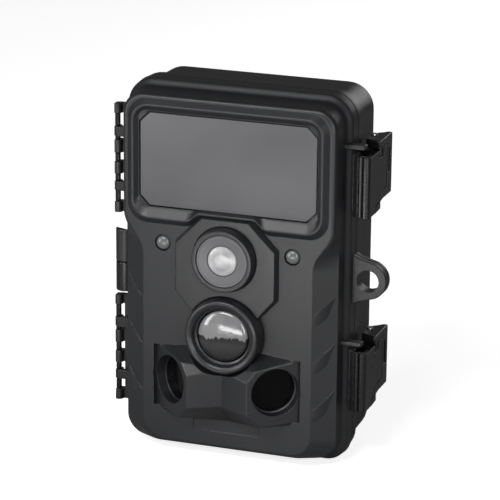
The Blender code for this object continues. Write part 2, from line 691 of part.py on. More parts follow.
def latch(level, drop):
    """A lever on the base's pin, and a hook on the lever that holds the door's strike."""
    low, high = LATCH_LOW + drop, LATCH_HIGH + drop
    outer, inner = LATCH_OUTER, LATCH_OUTER - LATCH_SKIN
    skin = [
        (31.8, high), (LATCH_REAR, high), (LATCH_REAR, low + 4.9), (25.0, low + 2.9), (25.0, low + 0.2),
        (18.9, low - 0.2), (18.9, low + 2.5), (22.5, low + 3.4), (22.5, low + 6.1), (31.8, low + 7.3),
    ]
    lever = prism(f"latch_lever_{level}", skin, "X", inner, outer, "gloss_black")
    plate = [
        (45.6, 25.2), (inner + 0.5, 22.6), (outer, 22.6), (outer, LATCH_REAR),
        (inner, LATCH_REAR), (49.0, 37.0), (46.9, 35.1), (45.6, 34.0),
    ]
    top = prism(f"{level}_lever_top", plate, "Z", high - 3.1, high)
    bottom = prism(f"{level}_lever_bottom", plate, "Z", low + 3.3, low + 6.1)
    joined(lever, top, bottom)
    pin_bore = cylinder(f"{level}_lever_bore", (*LATCH_PIN, low - 2), (*LATCH_PIN, high + 2), 1.25, sides=16)
    link_bore = cylinder(f"{level}_link_bore", (*LINK_PIN, low - 2), (*LINK_PIN, high - 0.8), 0.75, sides=12)
    cut(lever, pin_bore, link_bore)

    crown = high - 3.4
    face = [
        (11.2, low), (18.6, low), (18.6, low + 2.9), (22.1, low + 3.8), (22.1, low + 6.5), (31.4, low + 7.7),
        (31.4, crown), (26.9, crown), (26.9, crown - 3.0), (22.1, crown - 3.0), (22.1, crown), (11.2, crown),
    ]
    hook = prism(f"latch_hook_{level}", face, "X", inner, outer, "gloss_black")
    nose = [
        (outer, 10.9), (outer - 0.9, 9.8), (49.6, 9.8), (48.2, 10.2), (47.2, 11.0), (45.3, 11.6), (45.3, 12.5),
        (47.6, 12.9), (48.6, 13.2), (inner, 13.2), (outer, 13.2),
    ]
    front = prism(f"{level}_hook_front", nose, "Z", low, crown)
    knuckle = cylinder(f"{level}_hook_knuckle", (*LINK_PIN, low + 7.3), (*LINK_PIN, crown), 1.4, sides=20)
    joined(hook, front, knuckle)
    cut(hook, cylinder(f"{level}_hook_bore", (*LINK_PIN, low), (*LINK_PIN, high), 0.75, sides=12))
    with_origin(lever, (*LATCH_PIN, 0))
    with_origin(hook, (*LINK_PIN, 0))
    pin = ((*LATCH_PIN, low + 2.6), (*LATCH_PIN, high + 0.6))
    cylinder(f"latch_pin_{level}", *pin, 1.2, "steel", sides=16)
    link = ((*LINK_PIN, low + 3.5), (*LINK_PIN, high - 1.0))
    cylinder(f"link_pin_{level}", *link, 0.7, "steel", sides=12)


def battery_bay():
    """Eight AA cells in two rows of four, in a tray behind a sliding cover."""
    low, high = CELL_ROWS[0] - CELL_LENGTH / 2 - 4, CELL_ROWS[1] + CELL_LENGTH / 2 + 4
    tray = box("battery_tray", (-33.5, 23.0, low), (33.5, 40.6, high), "dark_plastic")
    bays = []
    for row, middle in enumerate(CELL_ROWS):
        for column in range(4):
            x = CELL_PITCH * (column - 1.5)
            start, end = middle - CELL_LENGTH / 2, middle + CELL_LENGTH / 2
            number = 4 * row + column + 1
            bays.append(cylinder(f"bay_{number}", (x, CELL_Y, start - 1.4), (x, CELL_Y, end + 1.4), 7.35, sides=20))
            bays.append(box(f"bay_mouth_{number}", (x - 7.35, 20, start - 1.4), (x + 7.35, CELL_Y, end + 1.4)))
            cylinder(f"battery_{number}", (x, CELL_Y, start), (x, CELL_Y, end), CELL_RADIUS, "cell", sides=20)
    contact_low, contact_high = low + 1.6, high - 1.6
    slots = [box("lower_contact_slot", (-31, 25.5, contact_low - 0.3), (31, 37.5, contact_low + 1.4)),
             box("upper_contact_slot", (-31, 25.5, contact_high - 1.4), (31, 37.5, contact_high + 0.3))]
    cut(tray, *bays, *slots)
    box("battery_contact_lower", (-30.6, 26, contact_low), (30.6, 37, contact_low + 0.5), "steel")
    box("battery_contact_upper", (-30.6, 26, contact_high - 0.5), (30.6, 37, contact_high), "steel")
    cover = bevelled(box("battery_cover", (-34, 20.2, low + 1), (34, 22.6, high - 3), "dark_plastic"), 0.5, 1)
    grip = [box(f"cover_grip_{k}", (-12, 19.9, low + 7 + 3 * k), (12, 20.7, low + 8.2 + 3 * k)) for k in range(3)]
    return cut(cover, *grip)


def tree_bracket():
    """A bridge on the back that a strap passes under, with feet above and below the strap."""
    outline = [tuple(p) for p in rounded([(27, 40, 6), (27, 96, 6), (-27, 96, 6), (-27, 40, 6)])]
    bracket = prism("tree_bracket", outline, "Y", BACK_Y + CLEAR, BRACKET_BACK, "dark_plastic")
    strap = box("strap_way", (-30, 44, STRAP_LOW), (30, 49.7, STRAP_HIGH))
    hollows = [box(f"bark_notch_{k}", (-9, 50.2, low), (9, 54, low + 9)) for k, low in enumerate((41.5, 85.5))]
    cut(bracket, strap, *hollows)
    for k, z in enumerate((46, 90)):
        bore = cylinder(f"bracket_bore_{k}", (0, 44, z), (0, 54, z), 1.7, sides=16)
        cut(bracket, bore)
        screw = cylinder(f"bracket_screw_{k + 1}", (0, 41.5, z), (0, 50.45, z), 1.4, "steel", sides=16)
        head = cylinder(f"bracket_screw_head_{k}", (0, 50.4, z), (0, 51.7, z), 3.0, sides=16)
        joined(screw, head)
    return bracket


def tripod_insert():
    insert = cylinder("tripod_insert", (0, 31.5, BACK_LOW), (0, 31.5, 5.0), 4.3, "brass", sides=32)
    cut(insert, cylinder("tripod_thread", (0, 31.5, BACK_LOW - 1), (0, 31.5, 3.6), 3.15, sides=32))


front_shell()
infrared_window()
lens_group()
motion_sensor()
side_sensors()
indicator_lamps()
control_side()
rear_shell()
seal()
hinge_pins()
for latch_level, latch_drop in latch_levels():
    latch(latch_level, latch_drop)
battery_bay()
tree_bracket()
tripod_insert()
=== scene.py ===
import math

import bmesh
import bpy
from mathutils import Matrix, Vector


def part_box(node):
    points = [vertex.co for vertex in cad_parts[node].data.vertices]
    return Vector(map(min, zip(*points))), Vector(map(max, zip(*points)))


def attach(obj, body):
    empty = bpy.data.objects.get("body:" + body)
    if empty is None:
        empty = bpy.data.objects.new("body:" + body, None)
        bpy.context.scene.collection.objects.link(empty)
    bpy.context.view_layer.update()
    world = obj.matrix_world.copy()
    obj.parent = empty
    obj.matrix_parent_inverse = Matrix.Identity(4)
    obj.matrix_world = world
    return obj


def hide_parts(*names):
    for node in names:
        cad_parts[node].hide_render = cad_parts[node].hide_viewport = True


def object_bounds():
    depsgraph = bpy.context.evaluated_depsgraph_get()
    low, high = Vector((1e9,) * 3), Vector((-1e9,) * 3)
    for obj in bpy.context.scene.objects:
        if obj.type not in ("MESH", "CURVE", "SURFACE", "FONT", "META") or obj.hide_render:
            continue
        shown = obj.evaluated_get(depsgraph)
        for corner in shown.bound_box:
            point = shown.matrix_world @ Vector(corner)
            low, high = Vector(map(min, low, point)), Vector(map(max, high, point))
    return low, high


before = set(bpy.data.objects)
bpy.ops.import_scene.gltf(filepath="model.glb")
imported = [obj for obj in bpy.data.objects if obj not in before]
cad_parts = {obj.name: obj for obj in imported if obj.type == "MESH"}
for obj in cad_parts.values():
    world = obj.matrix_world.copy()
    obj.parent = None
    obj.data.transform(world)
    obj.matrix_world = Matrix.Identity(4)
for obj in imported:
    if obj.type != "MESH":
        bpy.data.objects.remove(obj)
cadBounds = [list(corner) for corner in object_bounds()]
print("frame loaded")

mm = 0.001


# Case measures start from the middle of the window's front face; the window pane gives their place.
windowLow, windowHigh = (Vector(corner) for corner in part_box("infrared_window"))
windowSill = 0.0929
caseZero = Vector(((windowLow.x + windowHigh.x) / 2, windowLow.y, windowLow.z - windowSill))


def casePoint(x, y, z):
    return caseZero + Vector((x, y, z)) * mm


cameraSet = {
    "turn": 19.53,  # degrees round to the right
    "rise": 17.24,
    "roll": 0.53,
    "distance": 1.0424,
    "lens": 201.3,
    "lookAt": (9.12, 0.0, 79.66),
}


def addCamera(c):
    turn, rise, roll = (math.radians(c[k]) for k in ("turn", "rise", "roll"))
    back = Vector((math.sin(turn) * math.cos(rise), -math.cos(turn) * math.cos(rise), math.sin(rise)))
    side = back.cross(Vector((0, 0, 1))).normalized() * -1
    up = back.cross(side)
    right = side * math.cos(roll) + up * math.sin(roll)
    top = up * math.cos(roll) - side * math.sin(roll)
    data = bpy.data.cameras.new("camera")
    data.lens = c["lens"]
    data.sensor_width = 36
    camera = bpy.data.objects.new("camera", data)
    bpy.context.scene.collection.objects.link(camera)
    place = Matrix((right, top, back)).transposed().to_4x4()
    place.translation = casePoint(*c["lookAt"]) + back * c["distance"]
    camera.matrix_world = place
    bpy.context.scene.camera = camera
    bpy.context.scene.view_settings.view_transform = "Standard"


addCamera(cameraSet)

lightSet = {
    # direction round and up from the front in degrees, distance, width and height in metres, power in watts
    "high": {"turn": -12, "rise": 43, "far": 0.75, "size": (0.45, 0.14), "power": 3.2},
    "left": {"turn": -45, "rise": 4, "far": 0.65, "size": (0.14, 0.50), "power": 2.1},
    "right": {"turn": 40, "rise": 4, "far": 0.60, "size": (0.08, 0.40), "power": 1.6},
    "low": {"turn": 0, "rise": -13, "far": 0.28, "size": (0.20, 0.03), "power": 0.24},
    "behind": {"turn": 168, "rise": 14, "far": 0.90, "size": (0.40, 0.30), "power": 0.8},
}
worldLight = 0.10


def addLights(lights):
    aim = casePoint(0, 10, 70)
    for name, l in lights.items():
        turn, rise = math.radians(l["turn"]), math.radians(l["rise"])
        away = Vector((math.sin(turn) * math.cos(rise), -math.cos(turn) * math.cos(rise), math.sin(rise)))
        data = bpy.data.lights.new(f"light_{name}", "AREA")
        data.shape = "RECTANGLE"
        data.size, data.size_y = l["size"]
        data.energy = l["power"]
        lamp = bpy.data.objects.new(f"light_{name}", data)
        bpy.context.scene.collection.objects.link(lamp)
        lamp.location = aim + away * l["far"]
        lamp.visible_camera = False
        lamp.rotation_euler = away.to_track_quat("Z", "Y").to_euler()
    world = bpy.data.worlds.new("studio")
    bpy.context.scene.world = world
    world.use_nodes = True
    world.node_tree.nodes["Background"].inputs["Color"].default_value = (1, 1, 1, 1)
    world.node_tree.nodes["Background"].inputs["Strength"].default_value = worldLight


def addFloor():
    mesh = bpy.data.meshes.new("floor")
    bm = bmesh.new()
    bmesh.ops.create_grid(bm, x_segments=1, y_segments=1, size=4)
    bmesh.ops.translate(bm, vec=(0, 0, cadBounds[0][2] - 0.0002), verts=bm.verts)
    bm.to_mesh(mesh)
    floor = bpy.data.objects.new("floor", mesh)
    bpy.context.scene.collection.objects.link(floor)
    paint = bpy.data.materials.new("floorPaint")
    paint.use_nodes = True
    nodes, links = paint.node_tree.nodes, paint.node_tree.links
    shader = nodes["Principled BSDF"]
    shader.inputs["Base Color"].default_value = (0.90, 0.90, 0.90, 1)
    shader.inputs["Roughness"].default_value = 0.9
    glow = nodes.new("ShaderNodeEmission")
    glow.inputs["Strength"].default_value = 0.75
    both = nodes.new("ShaderNodeAddShader")
    links.new(shader.outputs[0], both.inputs[0])
    links.new(glow.outputs[0], both.inputs[1])
    dim = nodes.new("ShaderNodeBsdfDiffuse")
    dim.inputs["Color"].default_value = (0.38, 0.38, 0.38, 1)
    seen = nodes.new("ShaderNodeLightPath")  # the paper looks white, and throws only a little light back up
    pick = nodes.new("ShaderNodeMixShader")
    links.new(seen.outputs["Is Camera Ray"], pick.inputs[0])
    links.new(dim.outputs[0], pick.inputs[1])
    links.new(both.outputs[0], pick.inputs[2])
    links.new(pick.outputs[0], nodes["Material Output"].inputs["Surface"])
    mesh.materials.append(paint)


addLights(lightSet)
addFloor()
print("camera and lights set")


# short hands for a material's nodes
class Tree:
    def __init__(self, name):
        self.material = bpy.data.materials.new(name)
        self.material.use_nodes = True
        self.nodes = self.material.node_tree.nodes
        self.links = self.material.node_tree.links
        self.shader = self.nodes["Principled BSDF"]
        self.place = self.nodes.new("ShaderNodeTexCoord").outputs["Object"]

    def link(self, source, target):
        self.links.new(source, target)

    def noise(self, size, detail=3.0, roughness=0.5, stretch=None):
        node = self.nodes.new("ShaderNodeTexNoise")
        node.inputs["Scale"].default_value = 1 / size
        node.inputs["Detail"].default_value = detail
        node.inputs["Roughness"].default_value = roughness
        place = self.place
        if stretch:
            mapping = self.nodes.new("ShaderNodeMapping")
            mapping.inputs["Scale"].default_value = stretch
            self.link(self.place, mapping.inputs["Vector"])
            place = mapping.outputs["Vector"]
        self.link(place, node.inputs["Vector"])
        return node.outputs["Fac"]

    def cells(self, size):
        node = self.nodes.new("ShaderNodeTexVoronoi")
        node.inputs["Scale"].default_value = 1 / size
        self.link(self.place, node.inputs["Vector"])
        return node.outputs["Distance"]

    def remap(self, value, fromLow, fromHigh, toLow, toHigh):
        node = self.nodes.new("ShaderNodeMapRange")
        node.inputs["From Min"].default_value = fromLow
        node.inputs["From Max"].default_value = fromHigh
        node.inputs["To Min"].default_value = toLow
        node.inputs["To Max"].default_value = toHigh
        self.link(value, node.inputs["Value"])
        return node.outputs["Result"]

    def maths(self, operation, a, b):
        node = self.nodes.new("ShaderNodeMath")
        node.operation = operation
        for k, value in enumerate((a, b)):
            if isinstance(value, (int, float)):
                node.inputs[k].default_value = value
            else:
                self.link(value, node.inputs[k])
        return node.outputs[0]

    def ramp(self, value, stops):
        node = self.nodes.new("ShaderNodeValToRGB")
        for k, (at, colour) in enumerate(stops):
            stop = node.color_ramp.elements[k] if k < 2 else node.color_ramp.elements.new(at)
            stop.position = at
            stop.color = (*colour, 1)
        self.link(value, node.inputs["Fac"])
        return node.outputs["Color"]

    def mix(self, fac, a, b, blend="MIX"):
        node = self.nodes.new("ShaderNodeMix")
        node.data_type = "RGBA"
        node.blend_type = blend
        for socket, value in ((node.inputs[0], fac), (node.inputs[6], a), (node.inputs[7], b)):
            if isinstance(value, tuple):
                socket.default_value = (*value, 1)
            elif isinstance(value, (int, float)):
                socket.default_value = value
            else:
                self.link(value, socket)
        return node.outputs[2]

    def bump(self, height, depth, strength=1.0, normal=None):
        node = self.nodes.new("ShaderNodeBump")
        node.inputs["Distance"].default_value = depth
        node.inputs["Strength"].default_value = strength
        self.link(height, node.inputs["Height"])
        if normal:
            self.link(normal, node.inputs["Normal"])
        return node.outputs["Normal"]

    # how near a sharp edge a point lies, 0 on a flat and up to 1 on the edge, and the rounded normal
    def edges(self, width):
        rounded = self.nodes.new("ShaderNodeBevel")
        rounded.samples = 4
        rounded.inputs["Radius"].default_value = width
        flat = self.nodes.new("ShaderNodeNewGeometry")
        dot = self.nodes.new("ShaderNodeVectorMath")
        dot.operation = "DOT_PRODUCT"
        self.link(rounded.outputs["Normal"], dot.inputs[0])
        self.link(flat.outputs["Normal"], dot.inputs[1])
        return self.remap(dot.outputs["Value"], 0.985, 0.80, 0.0, 1.0), rounded.outputs["Normal"]


finishSet = {
    # colour, how much it varies, roughness, grain size and depth in metres, painted highlight along sharp
    # edges, clear coat
    "caseGrain": {
        "colour": (0.0125, 0.013, 0.0145), "vary": 0.12, "rough": 0.38, "grain": 0.00032, "depth": 0.00003,
        "edgeHighlight": 0.35, "coat": 0.0,
    },
    "caseSmooth": {
        "colour": (0.0150, 0.0155, 0.017), "vary": 0.10, "rough": 0.34, "grain": 0.00022, "depth": 0.00001,
        "edgeHighlight": 0.30, "coat": 0.0,
    },
    "latchGloss": {
        "colour": (0.005, 0.005, 0.006), "vary": 0.15, "rough": 0.26, "grain": 0.00050, "depth": 0.000004,
        "edgeHighlight": 0.15, "coat": 0.0,
    },
    "innerMatte": {
        "colour": (0.016, 0.016, 0.018), "vary": 0.12, "rough": 0.55, "grain": 0.00040, "depth": 0.00003,
        "edgeHighlight": 0.30, "coat": 0.0,
    },
    "keyGrey": {
        "colour": (0.150, 0.150, 0.158), "vary": 0.08, "rough": 0.50, "grain": 0.00030, "depth": 0.00002,
        "edgeHighlight": 0.20, "coat": 0.0,
    },
    "maskGrey": {
        "colour": (0.098, 0.098, 0.103), "vary": 0.05, "rough": 0.38, "grain": 0.00020, "depth": 0.00001,
        "edgeHighlight": 0.10, "coat": 0.0,
    },
    "sealRubber": {
        "colour": (0.012, 0.012, 0.013), "vary": 0.15, "rough": 0.75, "grain": 0.00060, "depth": 0.00004,
        "edgeHighlight": 0.10, "coat": 0.0,
    },
}


def mouldedFinish(name, f):
    t = Tree(name)
    grain = t.noise(f["grain"], detail=2.0)
    broad = t.noise(0.045, detail=3.0)
    specks = t.noise(f["grain"] * 5, detail=4.0, roughness=0.7)
    near, soft = t.edges(0.00035)
    low = tuple(c * (1 - f["vary"]) for c in f["colour"])
    high = tuple(c * (1 + f["vary"]) for c in f["colour"])
    # specks and edges are both lightened towards this colour; on the edges it is a painted highlight
    speckAndHighlightColour = tuple(min(1.0, c * 1.6 + 0.010) for c in f["colour"])
    body = t.mix(t.remap(broad, 0.3, 0.7, 0.0, 1.0), low, high)
    speckled = t.mix(t.remap(specks, 0.62, 0.8, 0.0, 0.35), body, speckAndHighlightColour)
    # painted highlight along every sharp edge, broken up by the specks
    paintedEdgeHighlight = t.maths("MULTIPLY", near, t.remap(specks, 0.35, 0.7, f["edgeHighlight"] * 0.4, f["edgeHighlight"]))
    t.link(t.mix(paintedEdgeHighlight, speckled, speckAndHighlightColour), t.shader.inputs["Base Color"])
    t.link(
        t.remap(t.maths("ADD", specks, broad), 0.6, 1.4, f["rough"] - 0.05, f["rough"] + 0.07),
        t.shader.inputs["Roughness"],
    )
    t.link(t.bump(grain, f["depth"], 1.0, soft), t.shader.inputs["Normal"])
    t.shader.inputs["Coat Weight"].default_value = f["coat"]
    t.shader.inputs["Coat Roughness"].default_value = 0.12
    return t.material


# smoked sheet: even grey, faintly mottled, with a satin surface
def windowFinish():
    t = Tree("smokedSheet")
    broad = t.noise(0.02, detail=2.0)
    fine = t.noise(0.00025, detail=2.0)
    t.link(
        t.mix(t.remap(broad, 0.3, 0.7, 0.0, 1.0), (0.078, 0.078, 0.083), (0.090, 0.090, 0.096)),
        t.shader.inputs["Base Color"],
    )
    t.link(t.remap(broad, 0.3, 0.7, 0.44, 0.50), t.shader.inputs["Roughness"])
    t.link(t.bump(fine, 0.000004), t.shader.inputs["Normal"])
    return t.material


def metalFinish(name, colour, rough, size=0.0004):
    t = Tree(name)
    brushed = t.noise(size, detail=3.0, stretch=(1, 1, 0.15))
    t.link(t.mix(brushed, tuple(c * 0.75 for c in colour), colour), t.shader.inputs["Base Color"])
    t.link(t.remap(brushed, 0.3, 0.7, rough - 0.08, rough + 0.12), t.shader.inputs["Roughness"])
    t.link(t.bump(brushed, 0.00002), t.shader.inputs["Normal"])
    t.shader.inputs["Metallic"].default_value = 1.0
    return t.material


def glossFinish(name, colour, rough, vary=0.2):
    t = Tree(name)
    broad = t.noise(0.006, detail=2.0)
    dust = t.noise(0.0009, detail=5.0, roughness=0.7)
    body = t.mix(broad, tuple(c * (1 - vary) for c in colour), tuple(c * (1 + vary) for c in colour))
    t.link(
        t.mix(t.remap(dust, 0.70, 0.85, 0.0, 0.15), body, (0.3, 0.3, 0.3)), t.shader.inputs["Base Color"],
    )
    t.link(t.remap(dust, 0.3, 0.8, rough, rough + 0.10), t.shader.inputs["Roughness"])
    t.link(t.bump(broad, 0.00001), t.shader.inputs["Normal"])
    t.shader.inputs["Coat Weight"].default_value = 0.6
    t.shader.inputs["Coat Roughness"].default_value = 0.05
    return t.material


# the same columns as above; the edge value sets a painted highlight on the edges
cellFinish = {
    "colour": (0.055, 0.062, 0.075), "vary": 0.10, "rough": 0.30, "grain": 0.00060, "depth": 0.000004,
    "edgeHighlight": 0.25, "coat": 0.3,
}


def boardFinish():
    # green lacquer over faint tracks
    t = Tree("boardGreen")
    tracks = t.cells(0.0028)
    speck = t.noise(0.0012, detail=3.0)
    green = t.mix(speck, (0.006, 0.050, 0.020), (0.010, 0.070, 0.028))
    t.link(
        t.mix(t.remap(tracks, 0.42, 0.46, 0.0, 0.6), green, (0.020, 0.120, 0.045)),
        t.shader.inputs["Base Color"],
    )
    t.link(t.remap(speck, 0.3, 0.7, 0.28, 0.40), t.shader.inputs["Roughness"])
    t.link(t.bump(tracks, 0.00003), t.shader.inputs["Normal"])
    return t.material


finishes = {name: mouldedFinish(name, f) for name, f in finishSet.items()}
finishes["smokedSheet"] = windowFinish()
finishes["blackGlass"] = glossFinish("blackGlass", (0.0025, 0.0025, 0.003), 0.08)
finishes["blackGlass"].node_tree.nodes["Principled BSDF"].inputs["Specular IOR Level"].default_value = 0.12
finishes["blackGlass"].node_tree.nodes["Principled BSDF"].inputs["Coat Weight"].default_value = 0.0
finishes["lampDome"] = glossFinish("lampDome", (0.10, 0.105, 0.105), 0.30)
finishes["steel"] = metalFinish("steel", (0.56, 0.56, 0.57), 0.28)
finishes["brass"] = metalFinish("brass", (0.62, 0.44, 0.19), 0.30)
print("finishes mixed")


# ways of making shapes, all in case millimetres
# a piece from a bmesh drawn in case millimetres
def pieceFrom(name, bm, finish, smooth=30):
    bmesh.ops.recalc_face_normals(bm, faces=bm.faces)
    bmesh.ops.transform(bm, matrix=Matrix.Translation(caseZero) @ Matrix.Scale(mm, 4), verts=bm.verts)
    mesh = bpy.data.meshes.new(name)
    bm.to_mesh(mesh)
    bm.free()
    piece = bpy.data.objects.new(name, mesh)
    bpy.context.scene.collection.objects.link(piece)
    if finish:
        mesh.materials.append(finishes[finish])
    mesh.shade_smooth()
    mesh.set_sharp_from_angle(angle=math.radians(smooth))
    return piece


cutMark = bpy.data.materials.new("cutMark")


def applied(piece):
    graph = bpy.context.evaluated_depsgraph_get()
    made = bpy.data.meshes.new_from_object(piece.evaluated_get(graph))
    old = piece.data
    piece.modifiers.clear()
    piece.data = made
    bpy.data.meshes.remove(old)
    return piece


def shaped(piece, operation, tools):
    # tools are used up, and the lines where they cut or join stay crisp
    for tool in tools:
        tool.data.materials.clear()
        tool.data.materials.append(cutMark)
        step = piece.modifiers.new(tool.name, "BOOLEAN")
        step.operation = operation
        step.object = tool
        step.material_mode = "TRANSFER"
    applied(piece)
    for tool in tools:
        bpy.data.objects.remove(tool)
    bm = bmesh.new()
    bm.from_mesh(piece.data)
    for edge in bm.edges:
        if len({face.material_index for face in edge.link_faces}) > 1:
            edge.smooth = False
    for face in bm.faces:
        face.material_index = 0
    bm.to_mesh(piece.data)
    bm.free()
    while len(piece.data.materials) > 1:
        piece.data.materials.pop()
    return piece


def smoothed(piece, angle=30):
    bm = bmesh.new()
    bm.from_mesh(piece.data)
    for face in bm.faces:
        face.smooth = True
    for edge in bm.edges:
        if edge.is_manifold and edge.calc_face_angle() > math.radians(angle):
            edge.smooth = False
    bm.to_mesh(piece.data)
    bm.free()
    piece.modifiers.new("even", "WEIGHTED_NORMAL").keep_sharp = True
    return applied(piece)


# a closed outline from (x, z, reach) corners, each rounded over its reach; a minus reach cuts it straight
def rounded(corners, steps=8):
    outline = []
    for k, (x, z, reach) in enumerate(corners):
        here = Vector((x, z))
        before = Vector(corners[k - 1][:2]) - here
        after = Vector(corners[(k + 1) % len(corners)][:2]) - here
        start = here + before.normalized() * abs(reach)
        end = here + after.normalized() * abs(reach)
        weight = math.sin(before.angle(after) / 2) if reach > 0 else 0.0
        for step in range(steps + 1):
            t = step / steps
            a, b, c = (1 - t) ** 2, 2 * t * (1 - t) * weight, t * t
            if reach < 0:
                a, b, c = 1 - t, 0.0, t
            outline.append((start * a + here * b + end * c) / (a + b + c))
    return outline


def rectangle(half, low, high, reach):
    return [(half, low, reach), (half, high, reach), (-half, high, reach), (-half, low, reach)]


def mirrored(right):
    return right + [(-point[0], *point[1:]) for point in reversed(right)]


def loft(name, sections, finish=None, tube=False, steps=8, smooth=30):
    bm = bmesh.new()
    rows = [[bm.verts.new((p.x, y, p.y)) for p in rounded(corners, steps)] for y, corners in sections]
    pairs = list(zip(rows, rows[1:]))
    if tube:
        pairs.append((rows[-1], rows[0]))
    else:
        bm.faces.new(rows[0])
        bm.faces.new(rows[-1])
    for near, far in pairs:
        for k in range(len(near)):
            following = (k + 1) % len(near)
            bm.faces.new((near[k], near[following], far[following], far[k]))
    return pieceFrom(name, bm, finish, smooth)


def block(name, low, high, finish=None, edge=0.0, segments=3):
    bm = bmesh.new()
    bmesh.ops.create_cube(bm, size=1)
    low, high = Vector(low), Vector(high)
    bmesh.ops.scale(bm, vec=high - low, verts=bm.verts)
    bmesh.ops.translate(bm, vec=(low + high) / 2, verts=bm.verts)
    softenEdges(bm, edge, segments)
    return pieceFrom(name, bm, finish)


def softenEdges(bm, width, segments=3, angle=35):
    if width <= 0:
        return
    bmesh.ops.recalc_face_normals(bm, faces=bm.faces)
    sharp = [e for e in bm.edges if e.is_manifold and e.calc_face_angle() > math.radians(angle)]
    bmesh.ops.bevel(
        bm, geom=sharp, offset=width, segments=segments, profile=0.5, affect="EDGES", clamp_overlap=True,
    )


def rod(name, start, end, radius, finish=None, endRadius=None, sides=48, edge=0.0):
    bm = bmesh.new()
    start, end = Vector(start), Vector(end)
    along = end - start
    turn = Vector((0, 0, 1)).rotation_difference(along).to_matrix().to_4x4()
    bmesh.ops.create_cone(
        bm, cap_ends=True, segments=sides, radius1=radius, radius2=radius if endRadius is None else endRadius,
        depth=along.length, matrix=Matrix.Translation((start + end) / 2) @ turn,
    )
    softenEdges(bm, edge, 3, 60)
    return pieceFrom(name, bm, finish)


def prism(name, outline, axis, low, high, finish=None, edge=0.0, segments=3):
    place = {
        "X": lambda a, b: (low, a, b), "Y": lambda a, b: (a, low, b), "Z": lambda a, b: (a, b, low),
    }[axis]
    bm = bmesh.new()
    face = bm.faces.new([bm.verts.new(place(a, b)) for a, b in outline])
    grown = bmesh.ops.extrude_face_region(bm, geom=[face])["geom"]
    moved = [part for part in grown if isinstance(part, bmesh.types.BMVert)]
    bmesh.ops.translate(bm, vec=Vector([(high - low) * (axis == k) for k in "XYZ"]), verts=moved)
    softenEdges(bm, edge, segments)
    return pieceFrom(name, bm, finish)


# turns a profile of (radius, height) about an axis; heights run along it from the point given
def turned(name, profile, at, finish, ring=True, steps=96, smooth=30, along=(0, -1, 0)):
    bm = bmesh.new()
    axis = Vector(along).normalized()
    turn = Vector((0, 0, 1)).rotation_difference(axis).to_matrix()
    rows = []
    for radius, height in profile:
        count = 1 if radius < 1e-6 else steps
        angles = [math.tau * k / steps for k in range(count)]
        places = [Vector((radius * math.cos(a), radius * math.sin(a), height)) for a in angles]
        rows.append([bm.verts.new(Vector(at) + turn @ place) for place in places])
    pairs = list(zip(rows, rows[1:]))
    if ring:
        pairs.append((rows[-1], rows[0]))
    for near, far in pairs:
        for k in range(steps):
            following = (k + 1) % steps
            corners = [
                near[k % len(near)], near[following % len(near)], far[following % len(far)],
                far[k % len(far)],
            ]
            unique = list(dict.fromkeys(corners))
            if len(unique) > 2:
                bm.faces.new(unique)
    return pieceFrom(name, bm, finish, smooth)


def hull(name, points, finish=None, edge=0.0, segments=4):
    bm = bmesh.new()
    for point in points:
        bm.verts.new(point)
    made = bmesh.ops.convex_hull(bm, input=bm.verts)
    inside = [part for part in made["geom_interior"] if isinstance(part, bmesh.types.BMVert)]
    bmesh.ops.delete(bm, geom=inside, context="VERTS")
    bmesh.ops.dissolve_limit(bm, angle_limit=math.radians(3), verts=bm.verts, edges=bm.edges)
    softenEdges(bm, edge, segments, 15)
    return pieceFrom(name, bm, finish)


# puts a finished piece on its body, in place of the frame's own nodes
def keep(piece, body, slot, *nodes):
    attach(piece, body)
    if nodes:
        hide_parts(*nodes)
    return piece


shellSet = {
    "wall": 2.4,
    "back": 17.85,
    "edgeRound": 2.0,
    "stepFront": 10.4,  # where the side steps out to the flange
    "stepDeep": 2.6,
    "stepOut": 1.95,
    "stepLow": 77.0,
    "stepHigh": 86.5,
    "chevrons": (55.8, 36.9, 18.0),  # height of each fin where it meets the front face
    "chevronRise": 8.4,
    "chevronBand": 4.7,
    "chevronProud": 0.75,
}
crestSet = {"front": -2.0, "bead": 0.7}
plateSet = {"front": -2.7, "lens": 75.7, "motion": 45.8}
sideSet = {
    "ridgeX": 12.0, "ridgeY": -10.8, "slope": 0.731, "edgeX": 29.5, "holeX": 21.2, "holeZ": 26.0,
    "hole": 9.4, "bore": 7.4, "low": 13.5, "high": 38.0,
    "block": (9, 33), "blockHeights": (7.5, 42),  # solid stock behind each module
}
lampSet = {"x": 25.8, "z": 78.6, "socket": 3.15, "dome": 2.75}
eyeSet = {"x": 50.5, "z": 67.5, "radius": 7.2, "hole": 4.3}  # the padlock eye on both halves


def doorCorners(half, lowerHalf, low, high, reach, soft=3.5):
    return mirrored([
        (lowerHalf, low, 8.5),
        (lowerHalf, shellSet["stepLow"], soft),
        (half, shellSet["stepHigh"], soft),
        (half, high, reach),
    ])


def eased(t):
    return t * t * (3 - 2 * t)


